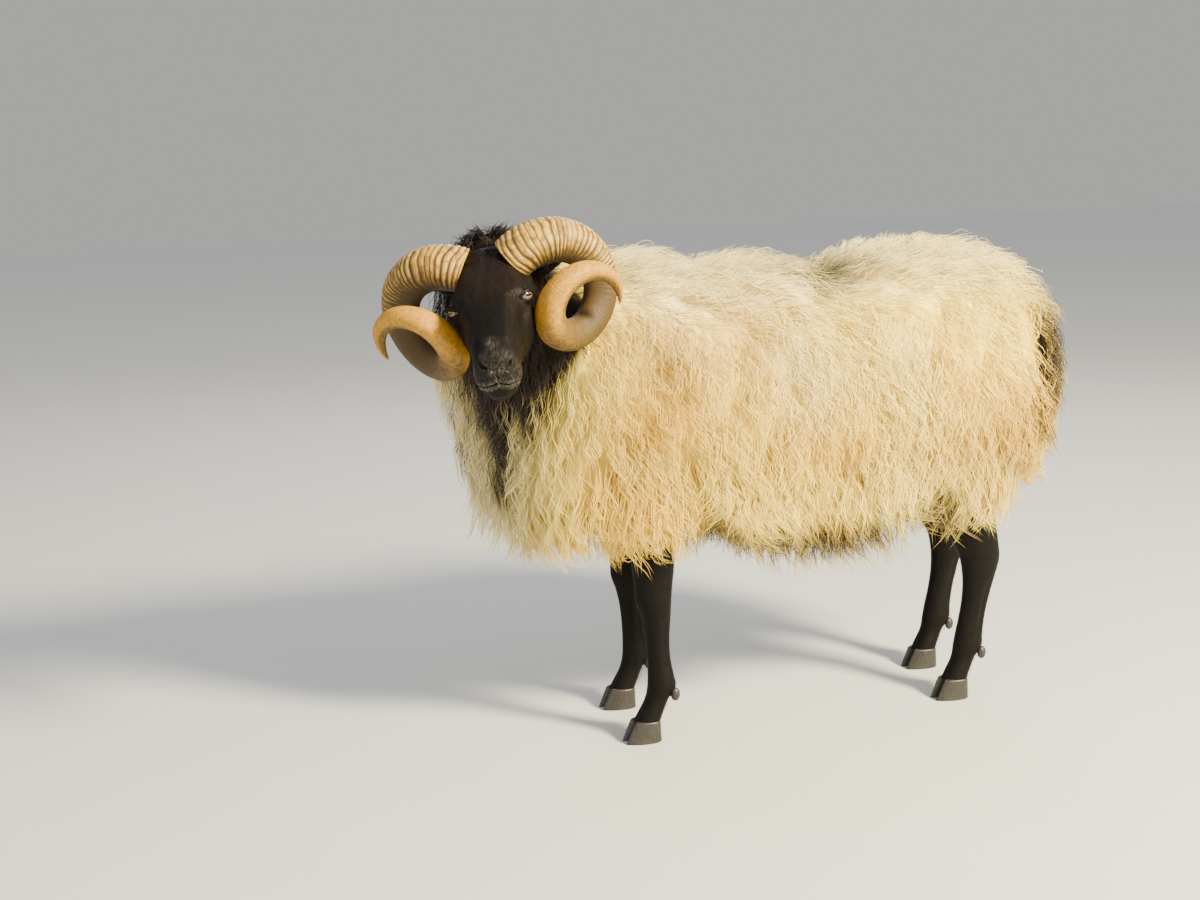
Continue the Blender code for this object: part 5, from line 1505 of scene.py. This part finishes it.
def stored(tree, name):
    """The node that reads a value stored on the mesh."""
    return put_node(tree, "ShaderNodeAttribute", attribute_name=name, attribute_type="GEOMETRY")


def new_group(name, inputs, outputs):
    """A node group with named sockets: each input and each output is a name and a type."""
    tree = bpy.data.node_groups.new(name, "ShaderNodeTree")
    for way, sockets in (("INPUT", inputs), ("OUTPUT", outputs)):
        for label, kind in sockets:
            tree.interface.new_socket(label, in_out=way, socket_type=kind)
    return tree, put_node(tree, "NodeGroupInput"), put_node(tree, "NodeGroupOutput")


def wool_colours():
    """Wool: cream to gold, greyed, tanned and darkened by its patches, with streaks and painted shade darker
    towards the roots.
    """
    if "wool colours" in bpy.data.node_groups:
        return bpy.data.node_groups["wool colours"]
    inputs = [(name, "NodeSocketColor") for name in ("Cream", "Gold", "Tan", "Grey", "Dark")]
    tree, given, result = new_group("wool colours", inputs, [("Color", "NodeSocketColor")])
    patches = put_node(tree, "ShaderNodeSeparateXYZ", {0: stored(tree, "patches").outputs["Vector"]})
    strand = put_node(tree, "ShaderNodeSeparateXYZ", {0: stored(tree, "strand").outputs["Vector"]})
    place = put_node(tree, "ShaderNodeTexCoord").outputs["Object"]
    broad = noise(tree, place, 7.0, 3.0, 0.4)
    colour = blended(tree, ranged(tree, broad, 0.35, 0.68), given.outputs["Cream"], given.outputs["Gold"])
    uneven_tan = ranged(tree, strand.outputs[1], 0.0, 1.0, 0.35, 1.2)
    tan_share = maths(tree, "MULTIPLY", patches.outputs[1], uneven_tan)
    colour = blended(tree, tan_share, colour, given.outputs["Tan"])
    uneven_grey = ranged(tree, strand.outputs[2], 0.0, 1.0, 0.55, 1.1)
    grey_share = maths(tree, "MULTIPLY", patches.outputs[2], uneven_grey)
    colour = blended(tree, grey_share, colour, given.outputs["Grey"])
    fleck = ranged(tree, strand.outputs[2], 0.0, 1.0, -0.22, 0.22)
    fleck = maths(tree, "MULTIPLY", fleck, ranged(tree, patches.outputs[0], 0.05, 0.4))
    dark_share = maths(tree, "ADD", patches.outputs[0], fleck, clamp=True)
    colour = blended(tree, ranged(tree, dark_share, 0.12, 0.80), colour, given.outputs["Dark"])
    # Painted shade: each strand is darker towards its root, where the coat shades itself.
    root = ranged(tree, strand.outputs[0], 0.0, 0.60, 0.80, 1.03)
    tone = ranged(tree, strand.outputs[1], 0.0, 1.0, 0.90, 1.08)
    value = maths(tree, "MULTIPLY", root, tone)
    shade = put_node(tree, "ShaderNodeCombineColor", {0: value, 1: value, 2: value}).outputs[0]
    colour = blended(tree, 1.0, colour, shade, "MULTIPLY")
    tree.links.new(colour, result.inputs["Color"])
    return tree


def hair_growth():
    """Short hair: fine streaks along the stored grain, as a height and a light and dark value."""
    outputs = [("Height", "NodeSocketFloat"), ("Streak", "NodeSocketFloat")]
    tree, given, result = new_group("short hair", [("Scale", "NodeSocketFloat")], outputs)
    grain = stored(tree, "grain").outputs["Vector"]
    fine = noise(tree, grain, given.outputs["Scale"], 2.0, 0.3)
    broad = noise(tree, grain, 140.0, 3.0, 0.5)
    height = maths(tree, "ADD", maths(tree, "MULTIPLY", fine, 0.7), maths(tree, "MULTIPLY", broad, 0.6))
    tree.links.new(height, result.inputs["Height"])
    tree.links.new(broad, result.inputs["Streak"])
    return tree


def new_material(name, roughness, **constants):
    """A material with its one Principled shader, and the values that don't vary set on its own sockets."""
    material = bpy.data.materials.new(name)
    material.use_nodes = True
    tree = material.node_tree
    shader = tree.nodes["Principled BSDF"]
    shader.inputs["Roughness"].default_value = roughness
    for key, value in constants.items():
        shader.inputs[key.replace("_", " ")].default_value = value
    return material, tree, shader


def bumped(tree, shader, height, distance, strength):
    """Lets a height bend the shader's normal."""
    bump = put_node(tree, "ShaderNodeBump", {"Height": height, "Distance": distance, "Strength": strength})
    tree.links.new(bump.outputs["Normal"], shader.inputs["Normal"])


def rgba(colour):
    """A colour with full opacity."""
    return (*colour, 1.0)


def wool_group(tree):
    """The group of wool colours, with the ram's own colours put in: the colour that it gives."""
    node = put_node(tree, "ShaderNodeGroup", node_tree=wool_colours())
    for socket in node.inputs:
        socket.default_value = rgba(getattr(bpy.context.scene.ram_colours, socket.name.lower()))
    return node.outputs["Color"]


def wool_material():
    """Long wool: the wool's colours, matt, with a faint sheen."""
    material, tree, shader = new_material(
        "long wool", 0.80, Specular_IOR_Level=0.15, Sheen_Weight=0.10, Sheen_Roughness=0.5
    )
    tree.links.new(wool_group(tree), shader.inputs["Base Color"])
    return material


def hair_material():
    """Short tufts: from black to brown by each tuft's own tone."""
    colours = bpy.context.scene.ram_colours
    material, tree, shader = new_material("black hair", 0.55, Specular_IOR_Level=0.09)
    strand = put_node(tree, "ShaderNodeSeparateXYZ", {0: stored(tree, "strand").outputs["Vector"]})
    colour = blended(tree, strand.outputs[1], rgba(colours.black_hair), rgba(colours.brown_hair))
    tree.links.new(colour, shader.inputs["Base Color"])
    return material


def skin_material():
    """Black hair on the face and legs, wool's own colours under the coat, pale lips, grey flecks and painted
    highlights on the nose, and bare black skin.
    """
    colours = bpy.context.scene.ram_colours
    material, tree, shader = new_material("skin and short hair", 0.6, Specular_IOR_Level=0.10)
    wool = wool_group(tree)
    hair = put_node(tree, "ShaderNodeGroup", {"Scale": HAIR_GRAIN}, node_tree=hair_growth())
    face = put_node(tree, "ShaderNodeSeparateXYZ", {0: stored(tree, "face").outputs["Vector"]})
    streak = ranged(tree, hair.outputs["Streak"], 0.35, 0.70)
    black_hair, brown_hair = rgba(colours.black_hair), rgba(colours.brown_hair)
    black = blended(tree, maths(tree, "MULTIPLY", streak, 0.2), black_hair, brown_hair)
    brown = maths(tree, "MULTIPLY", face.outputs[1], ranged(tree, streak, 0.0, 1.0, 0.45, 1.0))
    colour = blended(tree, brown, black, brown_hair)
    colour = blended(tree, face.outputs[2], colour, rgba(colours.bare_skin))
    # Pale: the lips, and grey flecks with painted highlights on the nose, speckled.
    speckle = noise(tree, stored(tree, "grain").outputs["Vector"], 420.0, 3.0)
    pale = maths(tree, "MULTIPLY", face.outputs[0], ranged(tree, speckle, 0.40, 0.66, 0.18, 1.15))
    colour = blended(tree, pale, colour, rgba(colours.lips))
    short = stored(tree, "hair").outputs["Fac"]
    colour = blended(tree, short, wool, colour)
    tree.links.new(colour, shader.inputs["Base Color"])
    gloss = maths(tree, "MULTIPLY", face.outputs[2], 0.14)
    rough = maths(tree, "SUBTRACT", ranged(tree, short, 0.0, 1.0, 0.9, 0.58), gloss)
    tree.links.new(rough, shader.inputs["Roughness"])
    bumped(tree, shader, hair.outputs["Height"], 0.0006, 0.8)
    return material


def horn_material():
    """Horn: cream crests and dark grooves near the head, honey and speckled further out, olive darkened by
    painted shade inside; the grooves' dark is partly painted shade.
    """
    colours = bpy.context.scene.ram_colours
    material, tree, shader = new_material("ribbed horn", 0.5, Specular_IOR_Level=0.30)
    along = stored(tree, "along").outputs["Fac"]
    crest = stored(tree, "crest").outputs["Fac"]
    inner = stored(tree, "inner").outputs["Fac"]
    flow = stored(tree, "flow").outputs["Vector"]
    streaks = noise(tree, flow, 1.6, 4.0, 0.6)
    speckle = noise(tree, flow, 3.2, 4.0, 0.8)
    ribbed = ranged(tree, along, 0.40, 0.62, 1.0, 0.0)
    honey, amber = rgba(colours.horn_honey), rgba(colours.horn_amber)
    honey = blended(tree, ranged(tree, streaks, 0.28, 0.80), honey, amber)
    worn = ranged(tree, streaks, 0.42, 0.66)
    worn = blended(tree, worn, rgba(colours.horn_cream), rgba(colours.horn_tan))
    # Colour by rib height: darker in the grooves, partly darker horn and partly painted shade.
    crests = blended(tree, ranged(tree, crest, 0.05, 0.62), rgba(colours.horn_groove), worn)
    colour = blended(tree, ribbed, honey, crests)
    specks = maths(tree, "MULTIPLY", ranged(tree, speckle, 0.58, 0.78), 0.22)
    colour = blended(tree, specks, colour, rgba(colours.horn_groove))
    # Painted shade: the inner side turns dark olive.
    shaded = maths(tree, "MULTIPLY", inner, ranged(tree, streaks, 0.35, 0.65, 0.70, 0.92))
    colour = blended(tree, shaded, colour, rgba(colours.horn_olive))
    tree.links.new(colour, shader.inputs["Base Color"])
    tree.links.new(ranged(tree, streaks, 0.3, 0.7, 0.42, 0.62), shader.inputs["Roughness"])
    height = maths(tree, "ADD", noise(tree, flow, 12.0, 4.0, 0.3), maths(tree, "MULTIPLY", speckle, 0.8))
    bumped(tree, shader, height, 0.0007, 0.7)
    return material


def fourth_power(tree, value, half):
    """The value over its half width, to the fourth power: the side of a rounded oblong."""
    return maths(tree, "POWER", maths(tree, "ABSOLUTE", maths(tree, "DIVIDE", value, half)), 4.0)


def eye_material():
    """Eye: amber iris with spokes, a level slit pupil and a dark ring."""
    colours = bpy.context.scene.ram_colours
    material, tree, shader = new_material("wet eye", 0.06, IOR=1.376, Coat_Weight=1.0, Coat_Roughness=0.02)
    gaze = put_node(tree, "ShaderNodeSeparateXYZ", {0: stored(tree, "gaze").outputs["Vector"]})
    ahead, up = gaze.outputs[1], gaze.outputs[2]
    half_length, half_height = PUPIL_HALVES
    slit = fourth_power(tree, ahead, half_length)
    slit = maths(tree, "ADD", slit, fourth_power(tree, up, half_height))
    square = maths(tree, "ADD", maths(tree, "MULTIPLY", ahead, ahead), maths(tree, "MULTIPLY", up, up))
    reach = maths(tree, "SQRT", square)
    turn = maths(tree, "MULTIPLY", maths(tree, "ARCTAN2", up, ahead), 9.0)
    spokes = put_node(tree, "ShaderNodeCombineXYZ", {0: turn, 1: maths(tree, "MULTIPLY", reach, 2.0)})
    fibre = noise(tree, spokes.outputs[0], 1.6, 3.0)
    iris = blended(tree, ranged(tree, fibre, 0.35, 0.65), rgba(colours.eye_amber), rgba(colours.eye_pale))
    colour = blended(tree, ranged(tree, reach, 0.58, 0.74), iris, rgba(colours.bare_skin))
    colour = blended(tree, ranged(tree, slit, 1.25, 0.85), colour, rgba(colours.pupil))
    tree.links.new(colour, shader.inputs["Base Color"])
    return material


def hoof_material():
    """Hoof horn: dark grey-black with fine upright fibres, growth rings and a paler, worn lower edge."""
    colours = bpy.context.scene.ram_colours
    material, tree, shader = new_material("hoof horn", 0.45, Specular_IOR_Level=0.5)
    place = put_node(tree, "ShaderNodeTexCoord").outputs["Object"]
    stretched = put_node(tree, "ShaderNodeMapping", {"Vector": place, "Scale": (1.0, 1.0, 0.12)}).outputs[0]
    fibre = noise(tree, stretched, 700.0, 2.0)
    broad = noise(tree, place, 60.0, 3.0)
    height = put_node(tree, "ShaderNodeSeparateXYZ", {0: place}).outputs[2]
    colour = blended(tree, ranged(tree, fibre, 0.3, 0.7), rgba(colours.hoof), rgba(colours.hoof_worn))
    worn = maths(tree, "MULTIPLY", ranged(tree, height, 0.012, 0.001), ranged(tree, broad, 0.35, 0.65))
    colour = blended(tree, worn, colour, rgba(colours.hoof_worn))
    tree.links.new(colour, shader.inputs["Base Color"])
    bumped(tree, shader, fibre, 0.0004, 0.6)
    return material


def floor_material():
    """Floor: one pale grey with the faintest clouds."""
    colours = bpy.context.scene.ram_colours
    material, tree, shader = new_material("pale floor", 0.7, Specular_IOR_Level=0.2)
    place = put_node(tree, "ShaderNodeTexCoord").outputs["Object"]
    tint = ranged(tree, noise(tree, place, 3.0, 2.0), 0.3, 0.7, 0.985, 1.0)
    shade = put_node(tree, "ShaderNodeCombineColor", {0: tint, 1: tint, 2: tint}).outputs[0]
    colour = blended(tree, 1.0, rgba(colours.floor), shade, "MULTIPLY")
    tree.links.new(colour, shader.inputs["Base Color"])
    return material


def camera_matrix():
    """The camera stands where the photo was taken from, turned by yaw, pitch and roll."""
    across = np.array([np.cos(CAMERA_YAW), np.sin(CAMERA_YAW), 0.0])
    level = np.array([-np.sin(CAMERA_YAW), np.cos(CAMERA_YAW), 0.0])
    forward = level * np.cos(CAMERA_PITCH) + np.array([0.0, 0.0, np.sin(CAMERA_PITCH)])
    up = np.cross(across, forward)
    right = np.cos(CAMERA_ROLL) * across + np.sin(CAMERA_ROLL) * up
    up = np.cos(CAMERA_ROLL) * up - np.sin(CAMERA_ROLL) * across
    rows = np.column_stack([right, up, -forward, CAMERA_PLACE + SHIFT])
    return Matrix([*rows.tolist(), (0.0, 0.0, 0.0, 1.0)])


def finished(piece, material, slot, *nodes):
    """Gives a piece its material, lets it ride on the body and stand for CAD nodes; its slot is not used."""
    piece.data.materials.clear()
    piece.data.materials.append(material)
    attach(piece, "root")
    if nodes:
        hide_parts(*nodes)


class RamSizes(PropertyGroup):
    """Sizes that a user would change."""

    strand_count: IntProperty(
        name="Strands", description="Strands of wool on the whole body", default=38500, min=4000, max=42000
    )
    strand_width: FloatProperty(
        name="Strand width", description="Width of a strand of wool", default=0.0015, unit="LENGTH"
    )
    floor_size: FloatProperty(name="Floor", description="Width of the floor", default=30.0, unit="LENGTH")


def colour_property(label, description, value):
    """A colour setting with its name, description and default."""
    return FloatVectorProperty(
        name=label, description=description, default=value, size=3, min=0.0, max=1.0, subtype="COLOR"
    )


class RamColours(PropertyGroup):
    """Colours that a user would change."""

    cream: colour_property("Cream", "Palest wool of the flank", (0.97, 0.79, 0.170))
    gold: colour_property("Gold", "Golden wool of the flank", (0.94, 0.66, 0.085))
    tan: colour_property("Tan", "Orange-tan streaks", (0.58, 0.34, 0.060))
    grey: colour_property("Grey", "Grey-white wool of the back and breast", (0.84, 0.74, 0.42))
    # Dark also carries the painted shade under the belly and by the left horn's coil.
    dark: colour_property("Dark", "Dark brown wool of the ruff and hem", (0.024, 0.014, 0.0095))
    black_hair: colour_property("Black hair", "Hair of the face and legs", (0.0020, 0.0017, 0.0019))
    brown_hair: colour_property("Brown hair", "Browner hair of the forehead", (0.0095, 0.0052, 0.0038))
    bare_skin: colour_property("Bare skin", "Nostrils and eyelids", (0.0022, 0.0020, 0.0021))
    # Lips also colours the grey flecks and painted highlights on the nose.
    lips: colour_property("Lips", "Grey-white hair of the lips", (0.15, 0.135, 0.115))
    horn_cream: colour_property("Horn crests", "Crests of the horn's ribs", (0.50, 0.31, 0.055))
    horn_tan: colour_property("Horn tan", "Browner crests", (0.24, 0.130, 0.018))
    # The grooves' colour also carries painted shade; the dark specks use it too.
    horn_groove: colour_property("Horn grooves", "Grooves between the ribs", (0.048, 0.020, 0.006))
    horn_honey: colour_property("Horn honey", "Smooth part of the horns", (0.50, 0.255, 0.016))
    horn_amber: colour_property("Horn amber", "Darker streaks of the smooth part", (0.29, 0.125, 0.008))
    # Olive of the inner side, darkened by painted shade.
    horn_olive: colour_property("Horn olive", "Inner side of the horns", (0.062, 0.037, 0.0085))
    eye_amber: colour_property("Eye amber", "Iris", (0.11, 0.055, 0.030))
    eye_pale: colour_property("Eye pale", "Pale spokes of the iris", (0.17, 0.10, 0.068))
    pupil: colour_property("Pupil", "Slit pupil", (0.004, 0.003, 0.003))
    hoof: colour_property("Hoof", "Hoof horn", (0.009, 0.008, 0.0075))
    hoof_worn: colour_property("Worn hoof", "Worn edge of the hooves", (0.028, 0.024, 0.020))
    floor: colour_property("Floor", "Pale floor", (0.52, 0.54, 0.56))


class RAM_OT_skin(Operator):
    """Makes the one skin of body, head, ears and legs"""

    bl_idname = "ram.skin"
    bl_label = "Skin"

    def execute(self, context):
        legs = [f"leg_{place}" for place in LEG_PLACES]
        nodes = ["torso", "neck", "head", "tail", "ear_left", "ear_right", *legs]
        finished(skin_piece(), skin_material(), "black_hair", *nodes)
        return {"FINISHED"}


class RAM_OT_horns(Operator):
    """Makes the two ribbed, coiled horns"""

    bl_idname = "ram.horns"
    bl_label = "Horns"

    def execute(self, context):
        material = horn_material()
        for name, side in (("left", 1), ("right", -1)):
            finished(horn_shell(f"ribbed_horn_{name}", side), material, "horn", f"horn_{name}")
        return {"FINISHED"}


class RAM_OT_eyes(Operator):
    """Makes the two eyes"""

    bl_idname = "ram.eyes"
    bl_label = "Eyes"

    def execute(self, context):
        material = eye_material()
        for name, side in (("left", 1), ("right", -1)):
            finished(eyeball(f"eyeball_{name}", side), material, "eye", f"eye_{name}")
        return {"FINISHED"}


class RAM_OT_hooves(Operator):
    """Makes the eight claws and the dew claws"""

    bl_idname = "ram.hooves"
    bl_label = "Hooves"

    def execute(self, context):
        material = hoof_material()
        spread = (-DEW_CLAW_SPREAD, DEW_CLAW_SPREAD)
        for place in LEG_PLACES:
            outer = -1 if place.endswith("left") else 1
            for name, side in (("outer", outer), ("inner", -outer)):
                claw = shell(f"hoof_{place}_{name}", claw_rings(place, side))
                finished(claw, material, "claw", f"claw_{place}_{name}")
            dews = [shell(f"dew_claws_{place}", dew_claw_rings(place, across)) for across in spread]
            finished(joined(dews), material, "claw")
        return {"FINISHED"}


class RAM_OT_fleece(Operator):
    """Makes the long wool of the body, neck and tail"""

    bl_idname = "ram.fleece"
    bl_label = "Fleece"

    def execute(self, context):
        material = wool_material()
        for region, name in enumerate(COAT_NAMES):
            rng = np.random.default_rng(SEED + 100 + region)
            finished(coat_piece(region, rng), material, "ruff" if name.startswith("ruff") else "fleece")
        return {"FINISHED"}


class RAM_OT_short_hair(Operator):
    """Makes the short tufts of the face, ears and legs"""

    bl_idname = "ram.short_hair"
    bl_label = "Short hair"

    def execute(self, context):
        material = hair_material()
        pieces = [face_hair(), crest_hair(), ear_hair(1), ear_hair(-1)]
        pieces += [leg_hair(place, number) for number, place in enumerate(LEG_PLACES)]
        for piece in pieces:
            finished(piece, material, "black_hair")
        return {"FINISHED"}


class RAM_OT_stage(Operator):
    """Makes the pale floor, soft lamps, world and camera"""

    bl_idname = "ram.stage"
    bl_label = "Stage"

    def execute(self, context):
        scene = context.scene
        half = 0.5 * scene.ram_sizes.floor_size
        mesh = bpy.data.meshes.new("floor")
        corners = [(-half, -half, 0.0), (half, -half, 0.0), (half, half, 0.0), (-half, half, 0.0)]
        mesh.from_pydata(corners, [], [(0, 1, 2, 3)])
        floor = bpy.data.objects.new("floor", mesh)
        scene.collection.objects.link(floor)
        floor.data.materials.append(floor_material())
        for name, place, size, watts, colour in LAMPS:
            lamp = bpy.data.lights.new(name, "AREA")
            lamp.shape = "DISK"
            lamp.size = size
            lamp.energy = watts
            lamp.color = colour
            holder = bpy.data.objects.new(name, lamp)
            holder.location = place
            aim = Vector(LAMP_AIM) - Vector(place)
            holder.rotation_euler = aim.to_track_quat("-Z", "Y").to_euler()
            scene.collection.objects.link(holder)
        world = bpy.data.worlds.new("studio")
        world.use_nodes = True
        background = world.node_tree.nodes["Background"]
        background.inputs["Color"].default_value = rgba(WORLD_COLOUR)
        rays = put_node(world.node_tree, "ShaderNodeLightPath")
        seen = maths(world.node_tree, "MULTIPLY", rays.outputs["Is Camera Ray"], WORLD_SEEN - WORLD_STRENGTH)
        strength = maths(world.node_tree, "ADD", seen, WORLD_STRENGTH)
        world.node_tree.links.new(strength, background.inputs["Strength"])
        scene.world = world
        camera = bpy.data.cameras.new("camera")
        camera.lens = CAMERA_LENS
        camera.sensor_width = CAMERA_SENSOR
        camera.clip_end = 100.0
        holder = bpy.data.objects.new("camera", camera)
        holder.matrix_world = camera_matrix()
        scene.collection.objects.link(holder)
        scene.camera = holder
        return {"FINISHED"}


OPERATORS = (
    RAM_OT_skin, RAM_OT_horns, RAM_OT_eyes, RAM_OT_hooves, RAM_OT_fleece, RAM_OT_short_hair, RAM_OT_stage,
)


class RAM_PT_build(Panel):
    """Lists the ram's sizes, colours and build steps"""

    bl_idname = "RAM_PT_build"
    bl_label = "Blackface Ram"
    bl_space_type = "VIEW_3D"
    bl_region_type = "UI"
    bl_category = "Ram"

    def draw(self, context):
        for settings in (context.scene.ram_sizes, context.scene.ram_colours):
            box = self.layout.box()
            for name in settings.bl_rna.properties.keys():
                if name not in ("rna_type", "name"):
                    box.prop(settings, name)
        for operator in OPERATORS:
            self.layout.operator(operator.bl_idname)


CLASSES = (RamSizes, RamColours, *OPERATORS, RAM_PT_build)


def register():
    """Makes the classes known, and hangs the sizes and colours on the scene."""
    for cls in CLASSES:
        bpy.utils.register_class(cls)
    bpy.types.Scene.ram_sizes = PointerProperty(type=RamSizes)
    bpy.types.Scene.ram_colours = PointerProperty(type=RamColours)


def unregister():
    """Takes back all that register does."""
    del bpy.types.Scene.ram_colours
    del bpy.types.Scene.ram_sizes
    for cls in reversed(CLASSES):
        bpy.utils.unregister_class(cls)


def main():
    """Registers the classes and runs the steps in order."""
    register()
    for step in (
        bpy.ops.ram.skin, bpy.ops.ram.horns, bpy.ops.ram.eyes, bpy.ops.ram.hooves,
        bpy.ops.ram.fleece, bpy.ops.ram.short_hair, bpy.ops.ram.stage,
    ):
        step()


if __name__ == "__main__":
    main()
